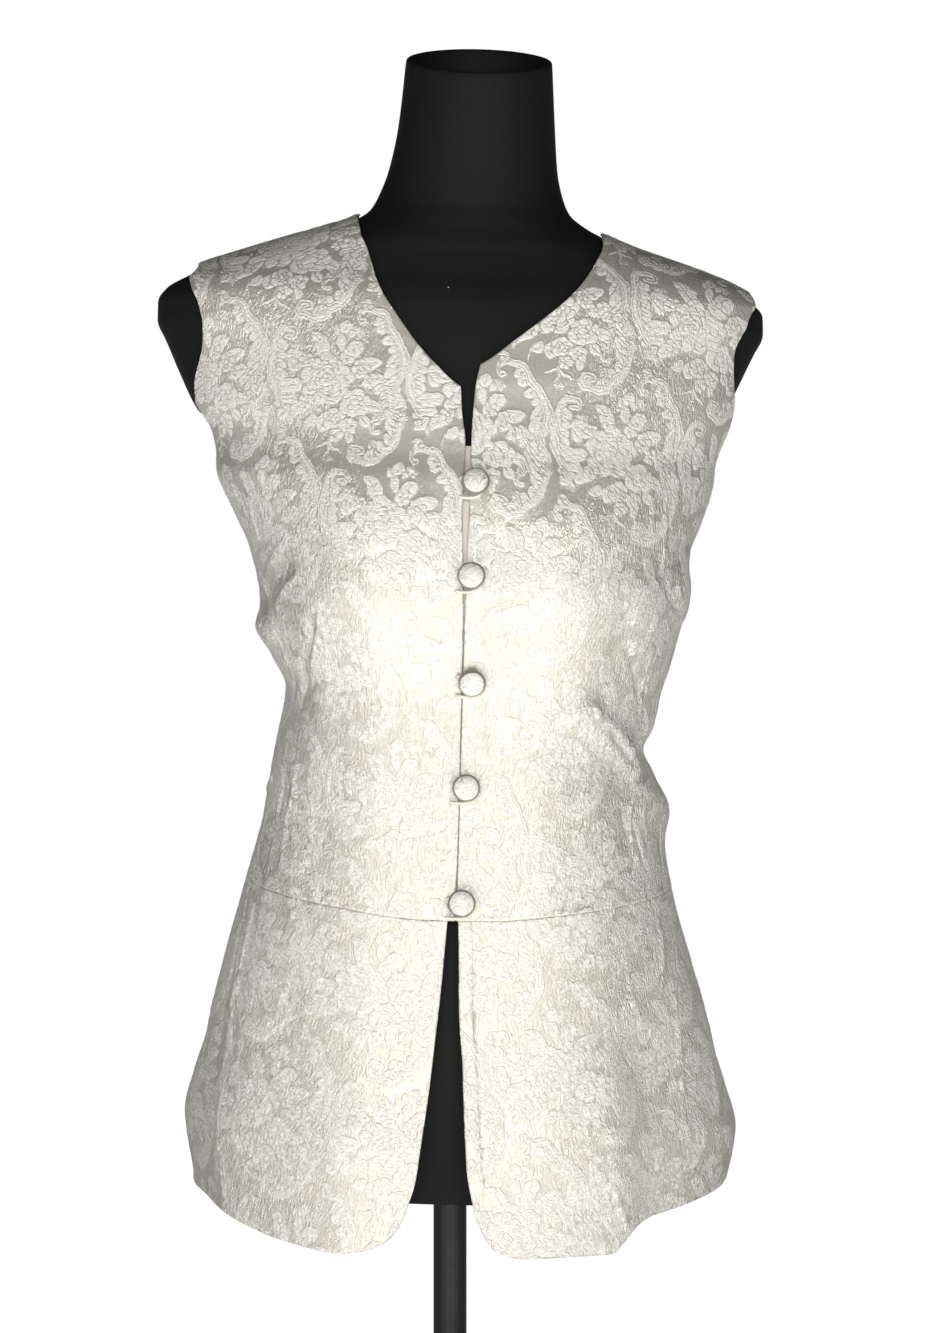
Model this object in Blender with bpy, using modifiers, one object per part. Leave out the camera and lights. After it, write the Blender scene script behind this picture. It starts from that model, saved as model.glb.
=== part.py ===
"""A peplum waistcoat, buttoned on a limbless dress form that stands on a pole and a round base.

Every size is in millimetres and every angle in degrees. Heights start at the form's flat bottom, with
the form upright, its front toward -Y and the wearer's left toward +X. A place on the cloth is an angle
round the form, 0 at the centre front and 90 at the wearer's left, and a height. The finished form
leans a little on its pole, which the last step adds.
"""

import math

import bmesh
import bpy
import numpy as np
from mathutils import Matrix, Vector

# Driving sizes
MILLIMETRE = 0.001
CLOTH_THICK = 1.6
SEAM_GAP = 0.3
LIFT = 2.8
LEAN = 1.5
FORM_BOTTOM = 180.0
FOLD_RADIUS = 130.0

# Bust
BUST_ACROSS = 88.0
BUST_HEIGHT = 395.0
FORM_BUST = (24.0, 42.0)
CLOTH_BUST = (8.0, 48.0)

# Neck of the form
NECK_TOP = 744.0
NECK_SLANT = 18.0
SLANT_START = 672.0
RIM_WIDTH = 4.0
RIM_ROUND = 1.5
RECESS_DEPTH = 60.0
RECESS_TAPER = 1.0

# Shoulder seams
SHOULDER_TIP = 180.0
SHOULDER_NECK = {"right": 77.0, "left": 84.0}

SHOULDER_SPAN = (585.0, 650.0)

# Side seams: where they start, cross the waist and end
UNDERARM_HEIGHT = 402.0
UNDERARM_ANGLE = 87.0
SIDE_WAIST_HEIGHT = 199.0
SIDE_HEM_HEIGHT = -5.0
FRONT_WAIST_HEIGHT = 181.0

# Closure
BUTTON_RADIUS = 8.75
SHANK_RADIUS = 2.6
SHANK_HEIGHT = 3.0
DOME_HEIGHT = 5.6
EDGE_HEIGHT = 1.2
UNDER_EDGE = 1.0
CORD_RADIUS = 1.25
TRIM_GAP = 0.6
UNDERLAP_THICK = 1.0
UNDERLAP_GAP = 1.3
UNDERLAP_REACH = (-13.0, 11.0)
UNDERLAP_SPAN = (483.5, 183.5)

# Stand
FLANGE_RADIUS = 30.0
FLANGE_THICK = 6.0
POLE_RADIUS = 11.0
BASE_RADIUS = 150.0
BASE_THICK = 6.0
BASE_ROUND = 2.5
JOINT_GAP = 0.4

# Surface
SHARP_ANGLE = 50.0
MERGE_DISTANCE = 0.00001

# Colours, roughness and metallic
SILK = ("ivory_silk_jacquard", (0.82, 0.80, 0.71, 1.0), 0.45, 0.0)
BLACK_FORM = ("black_form_shell", (0.016, 0.017, 0.016, 1.0), 0.6, 0.0)
BLACK_STEEL = ("black_painted_steel", (0.012, 0.012, 0.013, 1.0), 0.4, 0.0)


def table(columns, *rows):
    """A table whose columns are read by name."""
    return dict(zip(columns.split(), np.array(rows, float).T))


# Sections of the form: how far it reaches to each side, and how square the section is
FORM = table(
    "height right left front back square",
    (0, 150, 154, 96, 110, 2.3),
    (45, 158, 163, 101, 121, 2.3),
    (90, 156, 161, 102, 123, 2.3),
    (140, 146, 150, 99, 115, 2.3),
    (190, 134, 137, 94, 101, 2.3),
    (240, 121, 125, 88, 87, 2.3),
    (290, 111, 115, 83, 79, 2.3),
    (325, 111, 117, 84, 80, 2.3),
    (360, 117, 123, 91, 86, 2.3),
    (395, 125, 131, 102, 92, 2.4),
    (430, 136, 139, 104, 97, 2.5),
    (460, 149, 147, 101, 100, 2.5),
    (490, 164, 157, 95, 102, 2.4),
    (507, 181, 166, 91, 103, 2.4),
    (530, 193, 177, 87, 102, 2.4),
    (550, 202, 186, 83, 99, 2.4),
    (566, 209, 193, 79, 96, 2.4),
    (577.5, 209, 192.5, 76, 93, 2.4),
    (587, 203, 184.5, 72, 89, 2.4),
    (594.7, 190, 172, 68, 84, 2.4),
    (601.7, 177, 156, 65, 81, 2.4),
    (609.7, 154, 132, 62, 77, 2.4),
    (617.7, 130, 107, 60, 73, 2.4),
    (625.7, 105, 88, 57, 69, 2.3),
    (633.7, 82, 73, 55, 64, 2.2),
    (642, 70, 63, 53, 60, 2.1),
    (653, 64, 58, 52, 56, 2.0),
    (670, 58, 54, 51, 53, 2.0),
    (700, 52.5, 51.5, 50, 51, 2.0),
    (745, 48.5, 48.5, 49, 49, 2.0),
)

# Heights of the form's rings below its neck rim, closest on the shoulders
FORM_RINGS = (
    0, 45, 95, 150, 210, 270, 325, 365, 400, 435, 465, 490, 510, 530, 549, 564, 575, 583, 590,
    595, 600, 605, 611, 617, 624, 631, 638, 646, 657, 672, 696, 722,
)

# How far the cloth stands out from the form
EASE = table(
    "height right left front back square",
    (-30, 17, 20, 36, 46, 0.0),
    (0, 20, 26, 31, 42, 0.0),
    (45, 19, 24, 20, 26, 0.0),
    (70, 14, 17, 14.5, 20, 0.0),
    (100, 8, 10, 10, 15, 0.0),
    (140, 8, 8.5, 8.5, 10.5, 0.1),
    (190, 7.5, 6, 10, 10, 0.2),
    (235, 8, 7.5, 14, 12, 0.2),
    (280, 12, 10, 18, 13, 0.3),
    (325, 6, 14, 21, 12, 0.3),
    (345, 12.5, 17, 23, 11, 0.3),
    (370, 13.5, 18, 21.5, 10.5, 0.4),
    (395, 12.5, 15, 17, 10, 0.4),
    (415, 12, 10, 13.5, 9, 0.4),
    (440, 16, 14, 10, 7.5, 0.3),
    (461, 18.5, 15.5, 8, 6.5, 0.2),
    (480, 13.5, 13, 6, 5.5, 0.2),
    (497, 10.5, 14, 6, 6, 0.2),
    (520, 7, 11, 5.5, 6, 0.15),
    (550, 4, 4.5, 4, 6, 0.1),
    (590, 3.8, 3.8, 3.5, 6, 0.15),
    (610, 2.2, 2.2, 2.4, 3.5, 0.1),
    (645, 1.5, 1.5, 2, 2, 0.0),
)

# The largest folds, each from one place to another: ridges stand out and troughs go in
FOLDS = table(
    "angle height to_angle to_height width depth",
    (-62, 361, -108, 366, 12, 7),
    (-50, 412, -76, 378, 13, -4),
    (-45, 392, -48, 300, 11, 3),
    (-48, 320, -55, 190, 12, 2.5),
    (46, 394, 48, 332, 8, -3.5),
    (36, 322, 66, 276, 10, 6),
    (58, 291, 106, 289, 10, -5.5),
    (58, 262, 106, 244, 16, 7.5),
    (72, 424, 76, 372, 13, 4),
    (40, 330, 50, 190, 13, 2),
    (43, 205, 44, 60, 15, 3),
    (43, 110, 43.5, -80, 16, 7),
    (55, 120, 54, -80, 17, -4),
    (78, 150, 76, -80, 22, 2.5),
    (-58, 190, -57, -80, 19, 3.5),
    (-72, 120, -73, -80, 18, -3),
    (-30, 60, -28, -80, 20, 2),
    (112, 180, 118, -90, 20, 5),
    (136, 140, 139, -90, 18, -4.5),
    (158, 190, 160, -90, 22, 6),
    (184, 130, 182, -90, 20, -4),
    (206, 180, 204, -90, 22, 5),
    (228, 150, 226, -90, 18, -4.5),
    (248, 190, 244, -90, 20, 5.5),
    (142, 430, 146, 215, 11, 2.5),
    (218, 430, 214, 215, 11, 2.5),
    (112, 268, 168, 254, 12, 4.5),
    (196, 262, 246, 276, 12, 4),
    (118, 318, 160, 304, 13, 3),
    (206, 312, 240, 322, 12, 2.5),
)

# The neck edge of each front, from the shoulder to the top of the slit: distance from the middle
NECKLINE = {
    "right": table(
        "across height",
        (77, 634), (75, 627), (71.5, 616), (63.5, 594), (54.5, 576),
        (44, 561), (33, 546.5), (21, 534), (11, 524.5), (6, 521),
    ),
    "left": table(
        "across height",
        (84, 625), (84, 619), (81, 610), (73, 595.5), (57, 576.5),
        (41, 563), (26, 551), (11, 539), (6, 536),
    ),
}

# The back neck edge between the two shoulder seams
BACK_NECK = table(
    "angle height",
    (105, 629), (130, 627), (150, 625), (180, 623),
    (210, 627), (230, 633), (253, 637.5),
)

# The armhole's edge from the shoulder tip down to the underarm: how far forward and back it lies
ARMHOLE = table(
    "share front back",
    (0.015, 24, 22), (0.03, 32, 29), (0.065, 42, 38), (0.114, 51, 45), (0.16, 55, 49), (0.214, 57, 52),
    (0.308, 55, 54), (0.413, 48, 54), (0.522, 41, 52), (0.622, 38, 49), (0.711, 37, 45), (0.8, 35, 40),
    (0.88, 30, 33), (0.945, 22, 24), (0.985, 12, 12),
)
ARMHOLE_DEPTH = {"right": 1.0, "left": 0.84}

# The side seam below the underarm, nearer the front as the hips spread
SIDE_SEAM = table(
    "height angle",
    (-40, 60.5),
    (0, 61),
    (50, 63),
    (100, 66),
    (150, 69.5),
    (200, 74),
    (330, 74.5),
    (360, 77),
    (385, 82.5),
    (402, 87),
)

# Centre front edge of each bodice front: distance from the middle
FRONT_EDGE = {
    "right": table(
        "height across",
        (521, 6), (506, 5), (483, 2.2), (448, 3), (400, 1.3), (350, 0.6), (246, 0.3), (180, 1),
    ),
    "left": table(
        "height across",
        (536, 6), (528, 4.2), (515, 2.6), (483, 1.4), (448, 1.4), (400, 0.4), (350, 0.1), (180, 0.1),
    ),
}

# Waist seam, the same on both sides
WAIST = table(
    "angle height",
    (0, 181.5), (14, 182), (26, 184), (37, 187), (47, 190), (57, 193),
    (72, 198), (90, 203), (120, 206), (150, 205), (180, 204),
)

# Front edge and rounded corner of each peplum front: distance from the middle
PEPLUM_EDGE = {
    "right": table(
        "height across",
        (181, 5.6), (147, 8), (111, 11), (79, 14), (46, 18), (19, 21.5), (1, 27), (-9, 31), (-15, 35.5),
    ),
    "left": table(
        "height across",
        (181, 1), (159, 2), (125, 3), (92, 6), (59, 8), (27, 10.5), (7, 14.5), (-7, 19), (-14, 23),
    ),
}
PEPLUM_CORNER = {
    "right": table("height across", (-20, 42), (-24.5, 53), (-26.5, 68)),
    "left": table("height across", (-19.5, 27), (-24, 34), (-26.5, 48)),
}

# Hem from the corner of the left front round the back to the corner of the right front
HEM = table(
    "angle height",
    (33, -26), (41, -24), (43.5, -19), (46.5, -12), (50, -7.5), (58, -2), (69, 4), (85, 11),
    (95, 12), (120, 4), (150, -6), (180, -12), (210, -10), (240, -3), (265, -1), (282, -4),
    (298, -10), (308, -17), (315, -22), (325, -26),
)

# Button centres on the left front's edge
BUTTONS = table("across height", (5, 459), (4, 400), (6, 334), (4, 266), (3, 193))

# A loop's route round its button, from the right front's edge and back to it
LOOP_ROUTE = table(
    "across height",
    (-10.5, 2.6), (-5, 3.6), (0, 4.3), (3, 3.6), (4.4, 1.5), (4.7, -1.5), (4.2, -5), (2.4, -8),
    (-1.5, -9.6), (-6, -9.8), (-10.5, -9.2),
)

# How finely each piece is divided
NECK_ROWS = 10
EDGE_ROWS = 16
ARMHOLE_ROWS = 14
SHOULDER_COLUMNS = 8
FRONT_COLUMNS = 14
BACK_NECK_COLUMNS = 14
PEPLUM_ROWS = 12
PEPLUM_COLUMNS = 12
PEPLUM_BACK_COLUMNS = 30
FORM_SPOKES = 52
SPOKE_CROWDING = 12.0
UNDERLAP_ROWS = 20
UNDERLAP_COLUMNS = 3
LINE_STEPS = 240
TOP_FADE = 4.0
SIDE_STEPS = 9
WAIST_STEPS = 15
BUTTON_SPOKES = 16
POLE_SPOKES = 24
FLANGE_SPOKES = 28
BASE_SPOKES = 40

SIGN = {"right": -1.0, "left": 1.0}


def curve(x, y, at):
    """Values on a smooth curve through the points (x, y), x rising, that never overshoots them."""
    step = np.diff(x)
    slope = np.diff(y) / step
    tangent = np.zeros(len(y))
    same_way = slope[:-1] * slope[1:] > 0
    total = np.where(same_way, slope[:-1] + slope[1:], 1.0)
    tangent[1:-1] = np.where(same_way, 2.0 * slope[:-1] * slope[1:] / total, 0.0)
    tangent[0] = slope[0]
    tangent[-1] = slope[-1]
    row = np.clip(np.searchsorted(x, at) - 1, 0, len(step) - 1)
    t = np.clip((at - x[row]) / step[row], 0.0, 1.0)
    start = (1.0 + 2.0 * t) * (1.0 - t) ** 2 * y[row] + t * (1.0 - t) ** 2 * step[row] * tangent[row]
    end = t**2 * (3.0 - 2.0 * t) * y[row + 1] + t**2 * (t - 1.0) * step[row] * tangent[row + 1]
    return start + end


def read(rows, name, at, key="height"):
    """One column of a table at these heights or angles."""
    order = np.argsort(rows[key])
    return curve(rows[key][order], rows[name][order], np.asarray(at, float))


def sections(height):
    """The cloth's section at each height."""
    names = ("right", "left", "front", "back", "square")
    return {name: read(FORM, name, height - LIFT) + read(EASE, name, height) for name in names}


def ring(section, angle):
    """Points (x, y) on an oval section whose four reaches differ."""
    turn = np.radians(angle)
    across, ahead = np.sin(turn), np.cos(turn)
    wide = np.where(across > 0.0, section["left"], section["right"])
    deep = np.where(ahead > 0.0, section["front"], section["back"])
    power = section["square"]
    radius = ((np.abs(across) / wide) ** power + (np.abs(ahead) / deep) ** power) ** (-1.0 / power)
    return radius * across, -radius * ahead


def bust(x, height, size):
    """How far the bust pushes forward."""
    rise, spread = size
    off = (np.abs(x) - BUST_ACROSS) ** 2 + (height - BUST_HEIGHT) ** 2
    return rise * np.exp(-off / (2.0 * spread**2))


def fold_depth(angle, height):
    """How far the folds move the cloth outward."""
    total = np.zeros(np.broadcast(angle, height).shape)
    for row in range(len(FOLDS["angle"])):
        fold = {name: column[row] for name, column in FOLDS.items()}
        across = math.radians(fold["to_angle"] - fold["angle"]) * FOLD_RADIUS
        up = fold["to_height"] - fold["height"]
        turned = (angle - fold["angle"] + 180.0) % 360.0 - 180.0
        x = np.radians(turned) * FOLD_RADIUS
        z = height - fold["height"]
        t = np.clip((x * across + z * up) / (across**2 + up**2), 0.0, 1.0)
        off = (x - t * across) ** 2 + (z - t * up) ** 2
        taper = 1.0 - (2.0 * t - 1.0) ** 4
        total += fold["depth"] * taper * np.exp(-off / fold["width"] ** 2)
    return total


def face(angle, height):
    """Points on the outer face of the cloth."""
    x, y = ring(sections(height), angle)
    turn = np.radians(angle)
    out = fold_depth(angle, height)
    front = np.where(y < 0.0, bust(x, height, CLOTH_BUST), 0.0)
    return np.stack([x + out * np.sin(turn), y - out * np.cos(turn) - front, height + 0.0 * x], axis=-1)


def cloth(angle, height, inward=0.0):
    """Points this far behind the outer face of the cloth, or in front of it if negative."""
    angle, height = np.broadcast_arrays(np.asarray(angle, float), np.asarray(height, float))
    along = face(angle + 0.5, height) - face(angle - 0.5, height)
    up = face(angle, height + 0.5) - face(angle, height - 0.5)
    outward = np.cross(along, up)
    outward /= np.linalg.norm(outward, axis=-1, keepdims=True)
    return face(angle, height) - inward * outward


def angle_across(across, height, side):
    """The angle where the front of the cloth lies this far from the middle."""
    section = sections(np.asarray(height, float))
    share = across / section[side]
    ahead = section["front"] * (1.0 - share ** section["square"]) ** (1.0 / section["square"])
    return np.degrees(np.arctan2(across, ahead))


def angle_ahead(ahead, height, side, half):
    """The angle where the cloth lies this far forward, or back, of the middle."""
    section = sections(np.asarray(height, float))
    share = ahead / section[half]
    across = section[side] * (1.0 - share ** section["square"]) ** (1.0 / section["square"])
    angle = np.degrees(np.arctan2(across, ahead))
    return angle if half == "front" else 180.0 - angle


def crest_height(reach, side):
    """The height of the shoulder line this far from the middle."""
    heights = np.linspace(*SHOULDER_SPAN, LINE_STEPS)
    return float(np.interp(-reach, -sections(heights)[side], heights))


def gap_angle(angle, height):
    """The angle that half a seam gap takes up at this place."""
    x, y = ring(sections(np.asarray(height, float)), angle)
    return np.degrees(0.5 * SEAM_GAP / np.hypot(x, y))


def length_along(points):
    """The running length of a line of points."""
    return np.concatenate([[0.0], np.cumsum(np.linalg.norm(np.diff(points, axis=0), axis=1))])


def stretch(places, count):
    """Places in even steps on the cloth along a smooth line through a few (angle, height) places."""
    places = np.array(places, float)
    run = length_along(cloth(places[:, 0], places[:, 1]))
    fine = np.linspace(0.0, run[-1], LINE_STEPS)
    line = np.stack([curve(run, places[:, k], fine) for k in (0, 1)], axis=1)
    length = length_along(cloth(line[:, 0], line[:, 1]))
    even = np.linspace(0.0, length[-1], count + 1)
    return np.stack([np.interp(even, length, line[:, k]) for k in (0, 1)], axis=1)


def join(*lines):
    """Lines end to end."""
    return np.concatenate([lines[0]] + [line[1:] for line in lines[1:]])


def patch(top, bottom, inner, outer):
    """A grid of places between four lines. The top line's own curve fades out quickly down the grid."""
    across = np.linspace(0.0, 1.0, len(top))[None, :, None]
    down = np.linspace(0.0, 1.0, len(inner))[:, None, None]
    between = (1.0 - across) * inner[:, None] + across * outer[:, None]
    top_bow = top[None] - (1.0 - across) * top[0] - across * top[-1]
    bottom_bow = bottom[None] - (1.0 - across) * bottom[0] - across * bottom[-1]
    return between + (1.0 - down) ** TOP_FADE * top_bow + down * bottom_bow


def shoulder_line(side, half):
    """The shoulder seam's ends, half a seam gap to this side of it: (neck, tip)."""
    ends = []
    for reach in (SHOULDER_NECK[side], SHOULDER_TIP):
        height = crest_height(reach, side)
        gap = float(gap_angle(90.0, height))
        ends.append((90.0 - gap if half == "front" else 90.0 + gap, height))
    return ends


def armhole_line(side, half):
    """Places down the armhole's edge, from the shoulder tip to the underarm."""
    tip = shoulder_line(side, half)[1]
    height = tip[1] + (UNDERARM_HEIGHT - tip[1]) * ARMHOLE["share"]
    angle = angle_ahead(ARMHOLE[half] * ARMHOLE_DEPTH[side], height, side, half)
    gap = float(gap_angle(UNDERARM_ANGLE, UNDERARM_HEIGHT))
    end = UNDERARM_ANGLE + (gap if half == "back" else -gap)
    return [tip] + list(zip(angle, height)) + [(end, UNDERARM_HEIGHT)]


def side_line(top, bottom, half):
    """Places down the side seam, half a seam gap to this side of it."""
    height = np.linspace(top, bottom, SIDE_STEPS)
    angle = read(SIDE_SEAM, "angle", height)
    gap = gap_angle(angle, height)
    return list(zip(angle + gap if half == "back" else angle - gap, height))


def front_line(edge, side):
    """Places down a front edge."""
    return list(zip(angle_across(edge["across"], edge["height"], side), edge["height"]))


def waist_height(angle, gap):
    """The height of the waist seam, moved up or down by half a seam gap."""
    return read(WAIST, "height", np.minimum(angle, 360.0 - angle), "angle") + gap


def waist_line(start, end, gap, count):
    """The waist seam between two angles."""
    angle = np.linspace(start, end, WAIST_STEPS)
    return stretch(list(zip(angle, waist_height(angle, gap))), count)


def seam_end(gap, half):
    """Where the side seam meets the waist seam: (angle, height)."""
    angle = float(read(SIDE_SEAM, "angle", SIDE_WAIST_HEIGHT))
    height = float(waist_height(angle, gap))
    return side_line(height, height - 1.0, half)[0]


def front_places(side):
    """The grid of a bodice front."""
    gap = 0.5 * SEAM_GAP
    neck, tip = shoulder_line(side, "front")
    corner, underarm = seam_end(gap, "front"), armhole_line(side, "front")[-1]
    neckline = NECKLINE[side]
    neck_places = list(zip(angle_across(neckline["across"], neckline["height"], side), neckline["height"]))
    edge = front_line(FRONT_EDGE[side], side)
    start = float(angle_across(FRONT_EDGE[side]["across"][-1], FRONT_WAIST_HEIGHT, side))
    edge[-1] = (start, float(waist_height(start, gap)))
    inner = join(stretch([neck] + neck_places, NECK_ROWS), stretch(edge, EDGE_ROWS))
    rows = NECK_ROWS + EDGE_ROWS - ARMHOLE_ROWS
    side_seam = stretch([underarm] + side_line(UNDERARM_HEIGHT, corner[1], "front")[1:], rows)
    outer = join(stretch(armhole_line(side, "front"), ARMHOLE_ROWS), side_seam)
    top = stretch([neck, tip], FRONT_COLUMNS)
    return patch(top, waist_line(start, corner[0], gap, FRONT_COLUMNS), inner, outer)


def back_places():
    """The grid of the bodice back, from the wearer's left round to the right."""
    gap = 0.5 * SEAM_GAP
    rows = NECK_ROWS + EDGE_ROWS - ARMHOLE_ROWS
    corner = seam_end(gap, "back")
    edges = {}
    for side in ("left", "right"):
        armhole = armhole_line(side, "back")
        seam = stretch([armhole[-1]] + side_line(UNDERARM_HEIGHT, corner[1], "back")[1:], rows)
        edges[side] = join(stretch(armhole, ARMHOLE_ROWS), seam)
        if side == "right":
            edges[side][:, 0] = 360.0 - edges[side][:, 0]
    left_neck, left_tip = shoulder_line("left", "back")
    right_neck, right_tip = [(360.0 - angle, height) for angle, height in shoulder_line("right", "back")]
    neck = [left_neck] + list(zip(BACK_NECK["angle"], BACK_NECK["height"])) + [right_neck]
    top = join(
        stretch([left_tip, left_neck], SHOULDER_COLUMNS),
        stretch(neck, BACK_NECK_COLUMNS),
        stretch([right_neck, right_tip], SHOULDER_COLUMNS),
    )
    bottom = waist_line(corner[0], 360.0 - corner[0], gap, len(top) - 1)
    return patch(top, bottom, edges["left"], edges["right"])


def side_hem_angle():
    """Where the side seam ends at the hem, and the angle of half a seam gap there."""
    angle = float(read(SIDE_SEAM, "angle", SIDE_HEM_HEIGHT))
    return angle, float(gap_angle(angle, SIDE_HEM_HEIGHT))


def hem_places(start, end):
    """Rows of the hem between two angles, with a place at each end."""
    inside = (HEM["angle"] > start) & (HEM["angle"] < end)
    rows = list(zip(HEM["angle"][inside], HEM["height"][inside]))
    ends = [(angle, float(read(HEM, "height", angle, "angle"))) for angle in (start, end)]
    return [ends[0]] + rows + [ends[1]]


def peplum_front_places(side):
    """The grid of a peplum front."""
    gap = -0.5 * SEAM_GAP
    corner = seam_end(gap, "front")
    edge = front_line(PEPLUM_EDGE[side], side)
    edge[0] = (edge[0][0], float(waist_height(edge[0][0], gap)))
    seam_angle, half_gap = side_hem_angle()
    seam_angle -= half_gap
    rounded = front_line(PEPLUM_CORNER[side], side)
    first, last = HEM["angle"][0], HEM["angle"][-1]
    if side == "left":
        hem = hem_places(first, seam_angle)
    else:
        hem = [(360.0 - angle, height) for angle, height in hem_places(360.0 - seam_angle, last)][::-1]
    seam = side_line(corner[1], hem[-1][1], "front")
    seam[-1] = hem[-1]
    top = waist_line(edge[0][0], corner[0], gap, PEPLUM_COLUMNS)
    bottom = stretch([edge[-1]] + rounded + hem[1:], PEPLUM_COLUMNS)
    return patch(top, bottom, stretch(edge, PEPLUM_ROWS), stretch(seam, PEPLUM_ROWS))


def peplum_back_places():
    """The grid of the peplum back."""
    gap = -0.5 * SEAM_GAP
    corner = seam_end(gap, "back")
    seam_angle, half_gap = side_hem_angle()
    seam_angle += half_gap
    hem = hem_places(seam_angle, 360.0 - seam_angle)
    left = side_line(corner[1], hem[0][1], "back")
    right = [(360.0 - angle, height) for angle, height in side_line(corner[1], hem[-1][1], "back")]
    left[-1], right[-1] = hem[0], hem[-1]
    top = waist_line(corner[0], 360.0 - corner[0], gap, PEPLUM_BACK_COLUMNS)
    bottom = stretch(hem, PEPLUM_BACK_COLUMNS)
    return patch(top, bottom, stretch(left, PEPLUM_ROWS), stretch(right, PEPLUM_ROWS))


def on_stand(points):
    """Places in the upright form's frame, moved to the leaning form on its stand, in metres."""
    lean = math.radians(LEAN)
    x, y, z = np.moveaxis(np.asarray(points, float), -1, 0)
    tilted_x = x * math.cos(lean) + z * math.sin(lean)
    tilted_z = z * math.cos(lean) - x * math.sin(lean) + FORM_BOTTOM
    return np.stack([tilted_x, y, tilted_z], axis=-1) * MILLIMETRE


def make_material(look):
    """A material with one colour."""
    name, colour, roughness, metallic = look
    if name in bpy.data.materials:
        return bpy.data.materials[name]
    material = bpy.data.materials.new(name)
    material.use_nodes = True
    shader = material.node_tree.nodes["Principled BSDF"]
    shader.inputs["Base Color"].default_value = colour
    shader.inputs["Roughness"].default_value = roughness
    shader.inputs["Metallic"].default_value = metallic
    material.diffuse_color = colour
    return material


def add_object(name, data, look, collection):
    """An object of this mesh or curve, with its own material."""
    data.materials.append(make_material(look))
    made = bpy.data.objects.new(name, data)
    collection.objects.link(made)
    return made


def mesh_from(name, points, faces, flat_faces=0):
    """A mesh whose faces point outward, smooth but for the last few."""
    mesh = bpy.data.meshes.new(name)
    mesh.from_pydata([tuple(point) for point in points], [], faces)
    shaped = bmesh.new()
    shaped.from_mesh(mesh)
    bmesh.ops.recalc_face_normals(shaped, faces=shaped.faces)
    shaped.to_mesh(mesh)
    shaped.free()
    for number, polygon in enumerate(mesh.polygons):
        polygon.use_smooth = number < len(faces) - flat_faces
    mesh.set_sharp_from_angle(angle=math.radians(SHARP_ANGLE))
    return mesh


def quads(first, second, third, fourth):
    """Four-sided faces from four arrays of point numbers."""
    return np.stack([first, second, third, fourth], axis=-1).reshape(-1, 4).tolist()


def add_wall(name, outer, inner, look, collection):
    """A closed wall between two grids of points."""
    rows, columns = outer.shape[:2]
    number = np.arange(2 * rows * columns).reshape(2, rows, columns)
    front, back = number
    faces = quads(front[:-1, :-1], front[:-1, 1:], front[1:, 1:], front[1:, :-1])
    faces += quads(back[:-1, :-1], back[1:, :-1], back[1:, 1:], back[:-1, 1:])
    sides = [number[:, 0, :-1], number[:, :-1, -1], number[:, -1, :0:-1], number[:, :0:-1, 0]]
    border = np.concatenate(sides, axis=1)
    rim = quads(border[0], border[1], np.roll(border[1], -1), np.roll(border[0], -1))
    points = on_stand(np.concatenate([outer.reshape(-1, 3), inner.reshape(-1, 3)]))
    return add_object(name, mesh_from(name, points, faces + rim, len(rim)), look, collection)


def add_panel(name, places, collection, inward=0.0, thick=CLOTH_THICK):
    """A piece of cloth over a grid of places."""
    outer = cloth(places[..., 0], places[..., 1], inward)
    inner = cloth(places[..., 0], places[..., 1], inward + thick)
    return add_wall(name, outer, inner, SILK, collection)


def mirrored(places):
    """The same places on the wearer's right."""
    turned = places.copy()
    turned[..., 0] *= -1.0
    return turned


def add_bodice(collection):
    """Two fronts and a back."""
    add_panel("front_left", front_places("left"), collection)
    add_panel("front_right", mirrored(front_places("right")), collection)
    add_panel("back", back_places(), collection)


def add_peplum(collection):
    """Two peplum fronts with rounded corners and a peplum back."""
    add_panel("peplum_left", peplum_front_places("left"), collection)
    add_panel("peplum_right", mirrored(peplum_front_places("right")), collection)
    add_panel("peplum_back", peplum_back_places(), collection)


def signed_angle(across, height):
    """The angle of a place this far to the wearer's left of the middle."""
    side = "left" if across > 0.0 else "right"
    return SIGN[side] * float(angle_across(abs(across), height, side))


def add_underlap(collection):
    """The strip behind the closure."""
    heights = np.linspace(*UNDERLAP_SPAN, UNDERLAP_ROWS + 1)
    across = np.linspace(*UNDERLAP_REACH, UNDERLAP_COLUMNS + 1)
    places = np.array([[(signed_angle(x, height), height) for x in across] for height in heights])
    add_panel("underlap", places, collection, CLOTH_THICK + UNDERLAP_GAP, UNDERLAP_THICK)


def turn_round(made, steps):
    """Turns half an outline, drawn from the bottom up, into a round solid."""
    turned = made.modifiers.new("turned", "SCREW")
    turned.steps = turned.render_steps = steps
    turned.use_merge_vertices = True
    turned.merge_threshold = MERGE_DISTANCE
    turned.use_normal_flip = True


def button_profile():
    """Half the outline of a covered button on its shank, from the cloth up to the crown."""
    shank = [(0.0, 0.0), (SHANK_RADIUS, 0.0), (SHANK_RADIUS, SHANK_HEIGHT)]
    under = [(BUTTON_RADIUS - UNDER_EDGE, SHANK_HEIGHT)]
    dome = []
    for degrees in (-10.0, 15.0, 40.0, 65.0):
        turn = math.radians(degrees)
        height = SHANK_HEIGHT + EDGE_HEIGHT + (DOME_HEIGHT - EDGE_HEIGHT) * math.sin(turn)
        dome.append((BUTTON_RADIUS * math.cos(turn), height))
    return shank + under + dome + [(0.0, SHANK_HEIGHT + DOME_HEIGHT)]


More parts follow.
